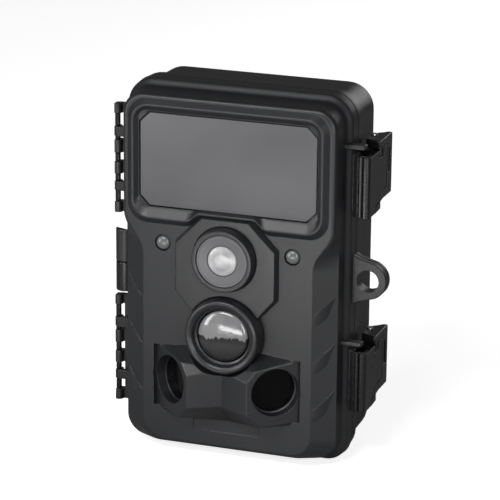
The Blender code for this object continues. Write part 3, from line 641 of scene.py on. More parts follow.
def doorSections():
    # the front edge's round, the slanting lower sides, the step out to the flange,
    # and the flange's soft back edge
    s = shellSet
    depths = [s["edgeRound"] * (1 - math.cos(math.radians(a))) for a in range(0, 91, 9)]
    depths += [2.8, 3.8, 4.6, 4.95, 5.3, 6.0, 8.0, s["stepFront"]]
    depths += [s["stepFront"] + s["stepDeep"] * k / 9 for k in range(1, 10)]
    depths += [17.2, 17.5, 17.75, s["back"]]
    sections = []
    for y in depths:
        share = min(1.0, y / s["edgeRound"])
        bulge = s["edgeRound"] * math.sqrt(max(0.0, 1 - (1 - share) ** 2))
        lean = 0.045 * max(0.0, y - s["edgeRound"])
        step = s["stepOut"] * eased(min(1.0, max(0.0, (y - s["stepFront"]) / s["stepDeep"])))
        rim = max(0.0, y - 17.2) ** 2 * 1.1
        half = 40.2 + bulge + lean + step - rim
        lowerHalf = min(half, 33.75 + 1.62 * y)
        low = 0.3 - bulge * 0.9 - lean * 2.0 - step * 1.05 + rim
        high = 134.3 + bulge * 0.8 + lean * 1.2 + step * 1.2 - rim
        sections.append((y, doorCorners(half, lowerHalf, low, high, 7.0 + bulge * 0.6 + step * 1.2)))
    return sections


# the window rim's outline, with its lower edge lifted over the lens plate
def crestCorners(half, low, high, reach, lift, liftHalf, straight=False):
    corner = -reach if straight else reach
    return mirrored([
        (liftHalf, low + lift, 1.0),
        (liftHalf + 3.6, low, 1.6),
        (half, low, corner),
        (half, high, corner),
    ])


def windowCrest():
    # outer slope, round bead and inner slope, then the wall beside the pane
    c = crestSet
    sections = [(0.9, 2.65), (0.05, 2.5)]
    beadTurns = [math.radians(a) for a in range(40, 141, 10)]
    sections += [(c["front"] + c["bead"] * (1 - math.sin(a)), c["bead"] * math.cos(a)) for a in beadTurns]
    made = []
    for y, out in sections:
        sizes = (37.4 + out, 88.5 - out, 131.9 + out, 6.2 + out * 0.7, 3.3, 11.4 + out * 0.15)
        made.append((y, crestCorners(*sizes)))
    made += [
        (-0.35, crestCorners(35.75, 91.4, 130.2, 4.6, 1.6, 11.0)),
        (0.05, crestCorners(35.35, 92.3, 129.45, 4.2, 0.5, 11.0, straight=True)),
        (0.3, crestCorners(35.25, 92.45, 129.25, 4.0, 0.2, 11.0, straight=True)),
        (1.4, crestCorners(35.25, 92.45, 129.25, 4.0, 0.2, 11.0, straight=True)),
    ]
    return loft("windowCrest", made, tube=True, steps=9, smooth=50)


def sidePlane(x):
    return sideSet["ridgeY"] + sideSet["slope"] * (x - sideSet["ridgeX"])


def sideModule(side, sign):
    s = sideSet
    edge = s["edgeX"] + 0.5
    points = [  # the ridge, the slanting face, the side by the middle, then the foot
        (s["ridgeX"], s["ridgeY"], 17.3), (s["ridgeX"], s["ridgeY"], 30.6),
        (16.6, sidePlane(16.6), 12.3), (15.0, sidePlane(15.0), 35.0),
        (edge, sidePlane(edge), s["low"]), (edge, sidePlane(edge), s["high"]),
        (-1.6, -4.7, 18.0), (-1.6, -4.7, 33.0), (1.6, -4.3, 18.0), (1.6, -4.3, 33.0),
        (-1.4, 4, 12), (-1.4, 4, 39.7), (30, 4, 12), (30, 4, 39.7),
        (12, 0.3, 9.5), (12, 0.3, 39.7), (0, 0.3, 10.5),
    ]
    return hull(f"sideModule{side}", [(sign * x, y, z) for x, y, z in points], edge=0.35, segments=3)


def sidePocket(side, sign):
    s = sideSet
    start = s["edgeX"] - 3.2
    outline = [
        (start, sidePlane(start)), (s["edgeX"], sidePlane(s["edgeX"])), (s["edgeX"], -2), (start, -12),
    ]
    return prism(f"sidePocket{side}", [(sign * x, y) for x, y in outline], "Z", s["low"], s["high"])


# a point on a side sensor's axis, a distance in from its face
def sideLine(sign, depth):
    tilt = math.atan(sideSet["slope"])
    inward = Vector((-sign * math.sin(tilt), math.cos(tilt), 0))
    mouth = Vector((sign * sideSet["holeX"], sidePlane(sideSet["holeX"]), sideSet["holeZ"]))
    return mouth + inward * depth


def sideRod(name, sign, radius, front, back, finish=None, **more):
    return rod(name, sideLine(sign, front), sideLine(sign, back), radius, finish, **more)


def chevron(side, sign, height):
    # a fin that starts flush with the front face and dies away up the slanting side
    s = shellSet
    outward = Vector((4.95, -8.15, 0)).normalized()
    start = Vector((33.55, 0.03, height))
    end = Vector((41.7, 4.85, height + s["chevronRise"]))
    foot = start - Vector((0, 0, s["chevronBand"]))
    low = Vector((38.8, 3.05, height - 0.4))
    near = start.lerp(end, 0.22) + outward * s["chevronProud"] * 0.55
    ridge = start.lerp(end, 0.55) + outward * s["chevronProud"]
    flat = foot.lerp(low, 0.6) + outward * 0.16
    points = [start, end, foot, low, near, ridge, flat]
    points += [p - outward * 1.2 for p in (start, end, foot, low)]
    return hull(f"chevron{side}{height:.0f}", [(sign * p.x, p.y, p.z) for p in points])


def eyePlate(name, low, high, edge):
    e = eyeSet
    outline = [
        (e["x"] + e["radius"] * math.cos(a), e["z"] + e["radius"] * math.sin(a))
        for a in [math.radians(d) for d in range(-70, 71, 7)]
    ]
    outline += [(47.1, 75.9), (43.0, 78.0), (43.0, 57.0), (47.1, 59.1)]
    return prism(name, outline, "Y", low, high, edge=edge)


hingeSet = {
    "x": -51.1, "y": 18.0, "top": 126.5, "length": 43.1, "pin": 0.8, "outer": -52.0, "drop": 76.5,
    "leafX": -48.9, "caseX": -42.8, "leaf": 1.2, "eye": 1.9, "clear": 0.05,
}
doorKnuckles = [(8.9, 12.8), (30.6, 34.3)]
baseKnuckles = [(0.0, 3.9), (14.3, 19.5), (22.9, 27.8), (38.8, 43.1)]
levels = (("upper", 0.0), ("lower", -hingeSet["drop"]))


def knuckleTools(spans, level, drop, armLow, armHigh):
    h = hingeSet
    top = h["top"] + drop
    made = []
    if spans is baseKnuckles:  # a thin leaf joins the base's knuckles
        corner = (h["caseX"], armLow + h["leaf"], top)
        made.append(block(f"leaf{level}", (h["leafX"], armLow, top - h["length"]), corner, edge=0.3))
    for k, (start, end) in enumerate(spans):
        low, high = h["top"] + drop - end, h["top"] + drop - start
        ends = [(h["x"], h["y"], z) for z in (low, high)]
        made.append(rod(f"eye{level}{k}", *ends, h["eye"], sides=24, edge=0.3))
        made.append(block(f"arm{level}{k}", (h["x"], armLow, low), (h["caseX"], armHigh, high), edge=0.3))
    return made


def hingeCutters():
    h = hingeSet
    made = [block("outerFlat", (h["outer"] - 3, h["y"] - 4, -10), (h["outer"], h["y"] + 4, 140))]
    for level, drop in levels:
        top = h["top"] + drop + 1
        ends = [(h["x"], h["y"], z) for z in (top - h["length"] - 2, top)]
        made.append(rod(f"pinBore{level}", *ends, h["pin"] + h["clear"], sides=24))
    return made


barrelSet = {
    "x": -48.3, "y": 18.0, "radius": 3.6, "gap": 0.15, "cut": -45.5, "lug": (64.2, 77.2), "post": (52.2, 63.9),
}


# the outline of the barrel's front half
def barrelFront():
    b = barrelSet
    angles = [math.radians(a) for a in range(0, 181, 9)]
    deep = b["radius"] - b["gap"]
    points = [
        (b["x"] - b["radius"] * math.cos(a), b["y"] - (b["gap"] + deep * math.sin(a))) for a in angles
    ]
    return [p for p in points if p[0] < b["cut"]]


def doorShell():
    shell = loft("door_shell", doorSections(), "caseGrain", steps=10)
    hollow = loft("doorHollow", [
        (shellSet["wall"], doorCorners(38.6, 31.4, 2.0, 132.4, 6.5)),
        (8.0, doorCorners(39.6, 37.6, 0.2, 133.4, 7.0)),
        (11.0, doorCorners(40.1, 40.0, -0.4, 133.8, 7.3)),
        (18.85, doorCorners(40.2, 40.2, -0.6, 134.0, 7.5)),
    ])
    shaped(shell, "DIFFERENCE", [hollow])
    sides = (("Right", 1), ("Left", -1))
    tools = [chevron(side, sign, height) for side, sign in sides for height in shellSet["chevrons"]]
    tools.append(windowCrest())
    for side, sign in sides:
        ends = sorted(sign * x for x in sideSet["block"])
        low, high = sideSet["blockHeights"]
        tools.append(block(f"sensorBlock{side}", (ends[0], 1, low), (ends[1], 6.4, high)))
        tools.append(sideModule(side, sign))
    for level, drop in levels:
        tools.append(block(f"strike{level}", (41.5, 12.8, 95 + drop), (46.6, 15.8, 117 + drop), edge=0.4))
        tools.append(block(f"shelf{level}", (42.0, 9.4, 119.5 + drop), (50.2, 13.2, 121.4 + drop), edge=0.6))
        tools += knuckleTools(doorKnuckles, level, drop, hingeSet["y"] - 2.3, shellSet["back"] - 0.05)
    lug = barrelFront() + [(hingeSet["caseX"], 17.85), (hingeSet["caseX"], 14.6)]
    tools.append(prism("middleLug", lug, "Z", *barrelSet["lug"], edge=0.4))
    tools.append(eyePlate("doorEye", 15.2, shellSet["back"], 0.5))
    shaped(shell, "UNION", tools)
    tools = [
        prism("windowOpening", windowOutline(-2.5), "Y", 0.5, 6),
        prism("windowPocket", windowOutline(0.42), "Y", -0.1, 1.7),
        prism("plateSeat", plateOutline(1.0), "Y", -5, 0.05),
        rod("lensHole", (0, -5, plateSet["lens"]), (0, 9, plateSet["lens"]), 12.8, sides=96),
        rod("motionSeat", (0, -15, plateSet["motion"]), (0, 0.3, plateSet["motion"]), 15.3, sides=96),
        rod("motionHole", (0, -1, plateSet["motion"]), (0, 9, plateSet["motion"]), 12.5, sides=96),
        block("nameBar", (-13.2, -3, 5.4), (13.2, 0.35, 10.6), edge=0.3),
        rod("doorEyeHole", *[(eyeSet["x"], y, eyeSet["z"]) for y in (10, 19)], eyeSet["hole"], sides=48),
    ]
    for side, sign in sides:
        tools.append(sidePocket(side, sign))
        tools.append(sideRod(f"sensorRim{side}", sign, sideSet["hole"], -6, 4.35, sides=96))
        tools.append(sideRod(f"sensorBore{side}", sign, sideSet["bore"], -1, 22, sides=48))
        ends = [(sign * lampSet["x"], y, lampSet["z"]) for y in (-2, 5)]
        tools.append(rod(f"lampSocket{side}", *ends, lampSet["socket"], sides=48))
    shaped(shell, "DIFFERENCE", tools + hingeCutters())
    smoothed(shell, 26)
    return keep(shell, "door", "shell_plastic", "front_shell")


def windowOutline(grow):
    half, low, high = 34.8 + grow, 92.9 - grow, 128.8 + grow
    corner = 3.8 + grow * 0.4
    return mirrored([
        (half - corner, low), (half, low + corner), (half, high - corner), (half - corner, high),
    ])


def plateOutline(grow):
    half = 19.6 + grow
    return mirrored([
        (9.3 + grow * 0.5, 90.4 + grow), (half, 80.0 + grow * 0.5), (half, 61.5 - grow * 0.5),
        (11.0, 51.5 - grow),
    ])


doorShell()
print("door shell made")


def windowPane():
    pane = prism("window_pane", windowOutline(0), "Y", 0.0, 1.4, "smokedSheet", edge=0.3)
    keep(pane, "door", "window_panel", "infrared_window")


def lensPlate():
    bm = bmesh.new()
    rows = []
    for y, grow in (
        (-0.1, 1.0), (-0.3, 1.0), (plateSet["front"] + 0.35, 0.12), (plateSet["front"] + 0.08, -0.08),
        (plateSet["front"], -0.35),
    ):
        rows.append([bm.verts.new((x, y, z)) for x, z in plateOutline(grow)])
    for near, far in zip(rows, rows[1:]):
        for k in range(len(near)):
            following = (k + 1) % len(near)
            bm.faces.new((near[k], near[following], far[following], far[k]))
    bm.faces.new(rows[0])
    bm.faces.new(rows[-1])
    plate = pieceFrom("lens_mount_plate", bm, "caseSmooth")
    shaped(plate, "DIFFERENCE", [
        rod("plateLensHole", (0, -6, plateSet["lens"]), (0, 2, plateSet["lens"]), 12.75, sides=96),
        rod("plateMotionCut", (0, -6, plateSet["motion"]), (0, 2, plateSet["motion"]), 15.3, sides=96),
    ])
    smoothed(plate, 28)
    keep(plate, "door", "shell_plastic", "lens_plate")


# points of an arc in a turned profile, by angles in degrees
def arcProfile(centre, radius, start, end, steps=6):
    angles = [math.radians(start + (end - start) * k / steps) for k in range(steps + 1)]
    return [(centre[0] + radius * math.cos(a), centre[1] + radius * math.sin(a)) for a in angles]


def lensGroup():
    at = (0, 0, plateSet["lens"])
    lip = arcProfile((10.3, 6.35), 0.15, 180, 90, 3) + arcProfile((11.6, 6.25), 0.25, 90, 15, 4)
    ring = [(10.15, 6.0)] + lip + [(12.5, 2.8), (12.5, -4.5), (10.15, -4.5)]
    keep(turned("lens_hood", ring, at, "caseSmooth"), "door", "shell_plastic", "lens_ring")
    mask = [
        (5.9, 5.35), (6.1, 5.6), (9.1, 6.0), (9.25, 5.9), (9.4, 6.0), (10.0, 6.0), (10.0, 4.7), (5.9, 4.7),
    ]
    keep(turned("lens_face", mask, at, "maskGrey", smooth=20), "door", "lens_grey", "lens_mask")
    dome = [
        (5.75 * math.sin(a), 5.2 + 1.0 * math.cos(a))
        for a in [math.radians(d) for d in range(0, 91, 9)]
    ]
    keep(
        turned("lens_front", dome + [(5.75, 3.5), (0, 3.5)], at, "lensPale", ring=False), "door",
        "lens_glass", "lens_glass",
    )


# pale, softly shining glass with a darker rim and faint inner rings
def lensPaleFinish():
    t = Tree("lensPale")
    centre = casePoint(0, 0, plateSet["lens"])
    away = t.nodes.new("ShaderNodeVectorMath")
    away.operation = "DISTANCE"
    flat = t.nodes.new("ShaderNodeMapping")
    flat.inputs["Scale"].default_value = (1, 0, 1)
    t.link(t.place, flat.inputs["Vector"])
    t.link(flat.outputs["Vector"], away.inputs[0])
    away.inputs[1].default_value = (centre.x, 0, centre.z)
    distance = t.remap(away.outputs["Value"], 0.0, 0.0058, 0.0, 1.0)
    colour = t.ramp(
        distance,
        [
            (0.0, (0.34, 0.34, 0.35)), (1.0, (0.22, 0.22, 0.23)), (0.48, (0.31, 0.31, 0.32)),
            (0.52, (0.24, 0.24, 0.25)), (0.80, (0.33, 0.33, 0.33)), (0.93, (0.30, 0.30, 0.30)),
        ],
    )
    cloud = t.noise(0.004, detail=2.0)
    t.link(
        t.mix(t.remap(cloud, 0.3, 0.7, 0.0, 0.25), colour, (0.80, 0.80, 0.80)),
        t.shader.inputs["Base Color"],
    )
    t.link(t.remap(cloud, 0.3, 0.7, 0.14, 0.24), t.shader.inputs["Roughness"])
    t.link(t.bump(distance, 0.0001), t.shader.inputs["Normal"])
    return t.material


# glossy dome with a painted reflection: pale above and dark below, parted by a ragged line like a far horizon
def motionDomeFinish():
    t = Tree("motionDome")
    parts = t.nodes.new("ShaderNodeSeparateXYZ")
    t.link(t.place, parts.inputs["Vector"])
    ragged = t.noise(0.0022, detail=6.0, roughness=0.75, stretch=(1, 1, 0.35))
    slow = t.noise(0.008, detail=1.0)
    middle = casePoint(0, 0, plateSet["motion"]).z
    level = t.maths("ADD", parts.outputs["Z"], t.remap(ragged, 0.3, 0.7, -0.0016, 0.0016))
    level = t.maths("ADD", level, t.remap(slow, 0.3, 0.7, -0.0012, 0.0012))
    share = t.remap(level, middle - 0.0002, middle + 0.0004, 0.0, 1.0)
    # painted reflection, dark part: dark below the line, with a faint lighter band
    lower = t.ramp(
        t.remap(parts.outputs["Z"], middle - 0.010, middle, 0.0, 1.0),
        [(0.0, (0.008, 0.008, 0.009)), (0.7, (0.030, 0.030, 0.031)), (1.0, (0.006, 0.006, 0.007))],
    )
    # painted reflection, pale part above the line
    upper = t.mix(t.remap(slow, 0.3, 0.7, 0.0, 1.0), (0.150, 0.150, 0.154), (0.195, 0.195, 0.199))
    t.link(t.mix(share, lower, upper), t.shader.inputs["Base Color"])
    t.link(t.remap(ragged, 0.2, 0.8, 0.10, 0.2), t.shader.inputs["Roughness"])
    t.link(t.bump(t.cells(0.0016), 0.00003), t.shader.inputs["Normal"])
    t.shader.inputs["Coat Weight"].default_value = 0.5
    t.shader.inputs["Coat Roughness"].default_value = 0.06
    return t.material


def motionGroup():
    at = (0, 0, plateSet["motion"])
    ring = [(11.9, 6.15), (12.5, 6.55)] + arcProfile((13.3, 5.5), 1.3, 100, 8, 9) + [
        (15.0, 0.0), (10.4, 0.0), (10.4, 3.9), (10.8, 4.1), (11.2, 4.3), (11.5, 5.2),
    ]
    keep(turned("motion_hood", ring, at, "caseSmooth", smooth=25), "door", "shell_plastic", "motion_ring")
    dome = [
        (9.9 * math.sin(a), 3.7 + 2.2 * math.cos(a))
        for a in [math.radians(d) for d in range(0, 91, 6)]
    ]
    keep(
        turned("motion_dome", dome + [(9.9, 0.6), (0, 0.6)], at, "motionDome", ring=False), "door",
        "motion_dome", "motion_lens",
    )


def sideWindows():
    for side, sign in (("left", -1), ("right", 1)):
        tilt = math.atan(sideSet["slope"])
        outward = (sign * math.sin(tilt), -math.cos(tilt), 0)
        at = sideLine(sign, 0.0)
        seat = [(8.75, -3.7), (9.35, -3.5), (9.35, -4.3), (8.75, -4.3)]
        keep(turned(f"side_seat_{side}", seat, at, "caseSmooth", along=outward), "door", "shell_plastic")
        pane = [(0, -3.75), (6.5, -3.8), (8.5, -3.95), (8.7, -4.3), (0, -4.3)]
        keep(
            turned(f"side_pane_{side}", pane, at, "blackGlass", ring=False, along=outward), "door",
            "black_window", f"side_window_{side}",
        )


def indicatorLamps():
    for side, sign in (("left", -1), ("right", 1)):
        at = (sign * lampSet["x"], 0, lampSet["z"])
        radius = lampSet["dome"]
        dome = [
            (radius * math.sin(a), -0.7 + 1.5 * math.cos(a))
            for a in [math.radians(d) for d in range(0, 91, 9)]
        ]
        keep(
            turned(f"lamp_{side}", dome + [(radius, -3.0), (0, -3.0)], at, "lampDome", ring=False, steps=48),
            "door", "indicator_plastic", f"indicator_{side}",
        )


finishes["lensPale"] = lensPaleFinish()
finishes["motionDome"] = motionDomeFinish()
windowPane()
lensPlate()
lensGroup()
motionGroup()
sideWindows()
indicatorLamps()
print("window, lens and sensors made")


postSet = {"low": 100.4, "high": 115.4, "pin": (46.9, 31.5), "bore": 1.3}  # carries a latch's pin
tripodSet = {"y": 31.5, "boss": 7.0, "hole": 4.5, "thread": 3.15}


def rearShell():
    flange = (44.9, -5.3, 138.9, 11.0)
    shell = loft("base_shell", [
        (18.15, rectangle(44.4, -4.8, 138.4, 10.7)),
        (18.75, rectangle(*flange)),
        (22.6, rectangle(*flange)),
        (23.3, rectangle(44.7, -5.1, 138.7, 10.9)),
        (23.8, rectangle(44.1, -4.5, 138.1, 10.6)),
        (24.2, rectangle(43.5, -3.8, 137.4, 10.2)),
        (25.0, rectangle(43.3, -3.5, 137.0, 10.0)),
        (34.0, rectangle(43.2, -3.3, 136.9, 10.0)),
        (42.6, rectangle(43.1, -3.1, 136.8, 10.0)),
        (43.7, rectangle(42.8, -2.8, 136.5, 9.8)),
        (44.7, rectangle(42.1, -2.1, 135.8, 9.4)),
        (45.2, rectangle(41.3, -1.3, 135.0, 9.0)),
        (45.4, rectangle(40.3, -0.3, 134.0, 8.4)),
    ], "caseGrain")
    inner = rectangle(39.8, -0.4, 133.6, 8.0)
    shaped(shell, "DIFFERENCE", [loft("baseHollow", [(16.0, inner), (43.0, inner)])])
    y = tripodSet["y"]
    tools = [
        rod("tripodBoss", (0, y, -2), (0, y, 6.4), tripodSet["boss"]),
        eyePlate("baseEye", 18.15, 20.8, 0.5),
    ]
    for level, drop in levels:
        low, high = postSet["low"] + drop, postSet["high"] + drop
        tools.append(block(f"latchPost{level}", (41.6, 29.4, low), (49.3, 33.8, high), edge=1.2))
        tools += knuckleTools(baseKnuckles, level, drop, 18.2, hingeSet["y"] + 2.3)
    shaped(shell, "UNION", tools)
    groove = loft("sealGroove", [
        (17.0, rectangle(43.2, -3.7, 137.2, 10.0)),
        (19.65, rectangle(43.2, -3.7, 137.2, 10.0)),
        (19.65, rectangle(41.2, -1.7, 135.2, 9.0)),
        (17.0, rectangle(41.2, -1.7, 135.2, 9.0)),
    ], tube=True)
    tools = [
        groove,
        rod("baseEyeHole", *[(eyeSet["x"], y, eyeSet["z"]) for y in (17, 23)], eyeSet["hole"]),
        rod("tripodHole", (0, tripodSet["y"], -5), (0, tripodSet["y"], 5.4), tripodSet["hole"]),
    ]
    for level, drop in levels:
        ends = [(*postSet["pin"], z + drop) for z in (95, 121)]
        tools.append(rod(f"postBore{level}", *ends, postSet["bore"], sides=24))
    shaped(shell, "DIFFERENCE", tools + hingeCutters())
    smoothed(shell, 28)
    keep(shell, "base", "shell_plastic", "rear_shell")


def hingePins():
    h = hingeSet
    for level, drop in levels:
        top = h["top"] + drop
        pin = rod(
            f"hinge_rod_{level}", (h["x"], h["y"], top - h["length"]), (h["x"], h["y"], top), h["pin"],
            "latchGloss", sides=32,
        )
        knuckles = sorted(doorKnuckles + baseKnuckles)
        collars = []
        for k, (before, after) in enumerate(zip(knuckles, knuckles[1:])):  # one in each gap
            low = (h["outer"], h["y"] - 1.1, top - after[0] + 0.15)
            high = (h["x"] + 0.8, h["y"] + 0.8, top - before[1] - 0.15)
            collars.append(block(f"collar{level}{k}", low, high, edge=0.25))
        keep(smoothed(shaped(pin, "UNION", collars)), "base", "latch_plastic", f"hinge_pin_{level}")


def middlePost():
    b = barrelSet
    outline = [
        (b["x"] + b["radius"] * math.cos(math.radians(a)), b["y"] + b["radius"] * math.sin(math.radians(a)))
        for a in range(110, 301, 8)
    ]
    outline += [(-45.6, 15.4), (-45.6, 20.6)]
    post = prism("middle_barrel", outline, "Z", *b["post"], "latchGloss", edge=0.4)
    keep(smoothed(post), "base", "latch_plastic", "middle_post")


rearShell()
hingePins()
middlePost()
print("base shell made")


latchSet = {
    "low": 93.3, "high": 120.0, "outer": 52.0, "skin": 1.8, "rear": 38.5, "pin": postSet["pin"],
    "link": (50.6, 27.4),
}


def latchPair(level, drop):
    s = latchSet
    low, high = s["low"] + drop, s["high"] + drop
    outer, inner = s["outer"], s["outer"] - s["skin"]
    rear = s["rear"]
    skin = [
        (31.8, high), (rear, high), (rear, low + 4.9), (25.0, low + 2.9), (25.0, low + 0.2),
        (18.9, low - 0.2), (18.9, low + 2.5), (22.5, low + 3.4), (22.5, low + 6.1), (31.8, low + 7.3),
    ]
    lever = prism(f"latch_arm_{level}", skin, "X", inner, outer, "latchGloss", edge=0.35)
    plate = [
        (45.6, 25.2), (inner + 0.5, 22.6), (outer, 22.6), (outer, rear),
        (inner, rear), (49.0, 37.0), (46.9, 35.1), (45.6, 34.0),
    ]
    shaped(lever, "UNION", [
        prism(f"leverTop{level}", plate, "Z", high - 3.1, high, edge=0.4),
        prism(f"leverBottom{level}", plate, "Z", low + 3.3, low + 6.1, edge=0.4),
    ])
    shaped(lever, "DIFFERENCE", [
        rod(f"leverBore{level}", (*s["pin"], low - 2), (*s["pin"], high + 2), 1.25, sides=32),
        rod(f"linkBore{level}", (*s["link"], low - 2), (*s["link"], high - 0.8), 0.75, sides=24),
        block(f"leverScoop{level}", (outer - 0.5, 33.4, low + 12), (outer + 1, 37.0, high - 5), edge=0.3),
    ])
    smoothed(lever)
    keep(lever, f"lever_{level}", "latch_plastic", f"latch_lever_{level}")

    crown = high - 3.4
    face = [
        (11.2, low), (18.6, low), (18.6, low + 2.9), (22.1, low + 3.8),
        (22.1, low + 6.5), (31.4, low + 7.7), (31.4, crown), (26.9, crown),
        (26.9, crown - 3.0), (22.1, crown - 3.0), (22.1, crown), (11.2, crown),
    ]
    hook = prism(f"latch_claw_{level}", face, "X", inner, outer, "latchGloss", edge=0.2)
    nose = [
        (outer, 10.9), (outer - 0.25, 10.3), (outer - 0.9, 9.8), (49.9, 9.6), (49.3, 10.4),
        (49.2, 12.0), (47.2, 12.2), (47.2, 11.2), (45.3, 11.6), (45.3, 12.5),
        (47.6, 12.9), (48.6, 13.2), (inner, 13.2), (outer, 13.2),
    ]
    shaped(hook, "UNION", [
        prism(f"hookFront{level}", nose, "Z", low, crown, edge=0.2),
        rod(f"hookBead{level}", (48.2, 11.3, low), (48.2, 11.3, crown), 0.95, sides=32, edge=0.2),
        rod(f"hookKnuckle{level}", (*s["link"], low + 7.3), (*s["link"], crown), 1.4, sides=32, edge=0.2),
    ])
    shaped(
        hook, "DIFFERENCE",
        [rod(f"hookBore{level}", (*s["link"], low), (*s["link"], high), 0.75, sides=24)],
    )
    smoothed(hook)
    keep(hook, f"hook_{level}", "latch_plastic", f"latch_hook_{level}")
    pin = rod(
        f"latch_rod_{level}", (*s["pin"], low + 2.6), (*s["pin"], high + 0.6), 1.2, "steel", edge=0.25,
        sides=32,
    )
    keep(pin, "base", "steel", f"latch_pin_{level}")


for levelName, levelDrop in levels:
    latchPair(levelName, levelDrop)
print("latches made")


# inside the case: cells and their contacts, cover, control panel, keys
def coil(name, at, lowRadius, highRadius, height, turns, wire):
    bm = bmesh.new()
    rows = []
    steps = int(turns * 24)
    for step in range(steps + 1):
        t = step / steps
        angle = math.tau * turns * t
        radius = lowRadius + (highRadius - lowRadius) * t
        out = Vector((math.cos(angle), math.sin(angle), 0))
        middle = Vector(at) + out * radius + Vector((0, 0, height * t))
        rows.append([bm.verts.new(middle + (out * math.cos(b) + Vector((0, 0, math.sin(b)))) * wire)
                     for b in (math.tau * k / 8 for k in range(8))])
    for near, far in zip(rows, rows[1:]):
        for k in range(8):
            bm.faces.new((near[k], near[(k + 1) % 8], far[(k + 1) % 8], far[k]))
    bm.faces.new(rows[0])
    bm.faces.new(rows[-1])
    return pieceFrom(name, bm, None)


cellSet = {"rows": (40.2, 96.0), "pitch": 15.2, "y": 31.4, "radius": 7.1, "length": 50.0}


def cells():
    c = cellSet
    half, r = c["length"] / 2, c["radius"]
    for row, middle in enumerate(c["rows"]):
        for column in range(4):
            number = 4 * row + column + 1
            up = 1 if column % 2 == 0 else -1
            at = (c["pitch"] * (column - 1.5), c["y"], middle)
            jacket = [
                (r - 1.2, 0.5 - half), (r - 0.4, 0.3 - half), (r, 0.8 - half), (r, half - 2.1),
                (r - 0.35, half - 1.6), (r - 1.2, half - 1.75),
            ]
            can = [
                (0, -half), (r - 2.3, -half), (r - 1.9, 0.4 - half), (r - 1.25, 0.6 - half),
                (r - 1.25, half - 2.1), (r - 1.6, half - 1.9), (2.9, half - 1.7), (2.75, half - 0.4),
                (2.4, half), (0, half),
            ]
            ends = turned(f"cell_ends_{number}", can, at, "steel", ring=False, steps=40, along=(0, 0, up))
            keep(ends, "base", "steel")
            keep(
                turned(f"cell_{number}", jacket, at, "cellJacket", steps=48, along=(0, 0, up)), "base",
                "cell_jacket", f"battery_{number}",
            )


contactSet = {"low": 12.8, "high": 123.4, "halfWidth": 30.6, "front": 26.0, "back": 37.0, "gap": 1.8}


def contacts():
    # a sprung or domed pad faces each cell's end
    c = contactSet
    for name, z, up in (("lower", c["low"], 1), ("upper", c["high"], -1)):
        pads = []
        for column in range(4):
            x = cellSet["pitch"] * (column - 1.5)
            negative = (column % 2 == 0) == (up > 0)
            if negative:
                start = z + 0.5 if up > 0 else z - 0.5 - c["gap"]
                radii = (4.2, 2.2) if up > 0 else (2.2, 4.2)
                pads.append(coil(f"coil{name}{column}", (x, cellSet["y"], start), *radii, c["gap"], 3, 0.3))
            else:
                dome = [(0, 0.2), (2.6, 0.2), (2.4, 0.9), (1.6, 1.3), (0, 1.4)]
                at = (x, cellSet["y"], z)
                pads.append(
                    turned(f"dome{name}{column}", dome, at, None, ring=False, steps=32, along=(0, 0, up))
                )
        low, high = (z, z + 0.5) if up > 0 else (z - 0.5, z)
        strip = block(
            f"cell_contact_{name}", (-c["halfWidth"], c["front"], low), (c["halfWidth"], c["back"], high),
            "steel", edge=0.15,
        )
        slits = [
            block(f"slit{name}{k}", (x - 0.4, c["front"] + 3, low - 1), (x + 0.4, c["back"] + 1, high + 1))
            for k, x in enumerate((-15.2, 0, 15.2))
        ]
        shaped(strip, "DIFFERENCE", slits)
        shaped(strip, "UNION", pads)
        keep(smoothed(strip), "base", "steel", f"battery_contact_{name}")


coverSet = {"half": 34.0, "low": 12.2, "high": 122.0, "front": 20.2, "back": 22.6,
            "ribs": 7, "ribPitch": 2.2, "ribHalf": 14, "slitX": 30.6}


def batteryCover():
    c = coverSet
    outline = [tuple(p) for p in rounded(rectangle(c["half"], c["low"], c["high"], 3.0), 6)]
    cover = prism("cell_cover", outline, "Y", c["front"], c["back"], "innerMatte", edge=0.5)
    field = [tuple(p) for p in rounded([(27, 48, 4), (27, 108, 4), (-27, 108, 4), (-27, 48, 4)], 6)]
    tools = [prism("coverField", field, "Y", c["front"] - 1, c["front"] + 0.6, edge=0.3)]
    arrow = [(-5, 36), (0, 42), (5, 36), (2, 36), (2, 31), (-2, 31), (-2, 36)]
    tools.append(prism("coverArrow", arrow, "Y", c["front"] - 1, c["front"] + 0.4))
    for k in range(c["ribs"]):
        z = c["low"] + 4 + c["ribPitch"] * k
        low, high = (-c["ribHalf"], c["front"] - 0.6, z), (c["ribHalf"], c["front"] + 0.7, z + 1.1)
        tools.append(block(f"coverGrip{k}", low, high, edge=0.25))
    for side in (-1, 1):
        x = side * c["slitX"]
        low, high = (x - 0.5, c["front"] - 1, 20), (x + 0.5, c["front"] + 0.8, 112)
        tools.append(block(f"coverSlit{side}", low, high, edge=0.2))
    shaped(cover, "DIFFERENCE", tools)
    keep(smoothed(cover), "battery_cover", "inner_plastic", "battery_cover")


panelSet = {
    "front": 12.6, "back": 14.6, "screen": (-27.0, 57.0, 27.0, 97.0),
    "keys": (-14.0, 38.0), "keyGap": 8.5, "keyHole": 3.5, "key": 3.2,
    "switch": (16.0, 42.0), "card": (12.0, 4.6, 36.0, 36.5),
    "vents": (104.5, 108.0, 111.5, 115.0, 118.5), "ventHalf": 22,
    "screws": ((-33, 126), (33, 126)), "moreSeats": ((-33, 8), (33, 30)),
}
keyPlaces = {"up": (0, 1), "down": (0, -1), "left": (-1, 0), "right": (1, 0), "ok": (0, 0)}


def plateRing(name, outer, inner, low, high, edge):
    ring = prism(name, [tuple(p) for p in rounded(outer, 5)], "Y", low, high, edge=edge)
    return shaped(
        ring, "DIFFERENCE",
        [prism(f"{name}Hole", [tuple(p) for p in rounded(inner, 5)], "Y", low - 1, high + 1)],
    )


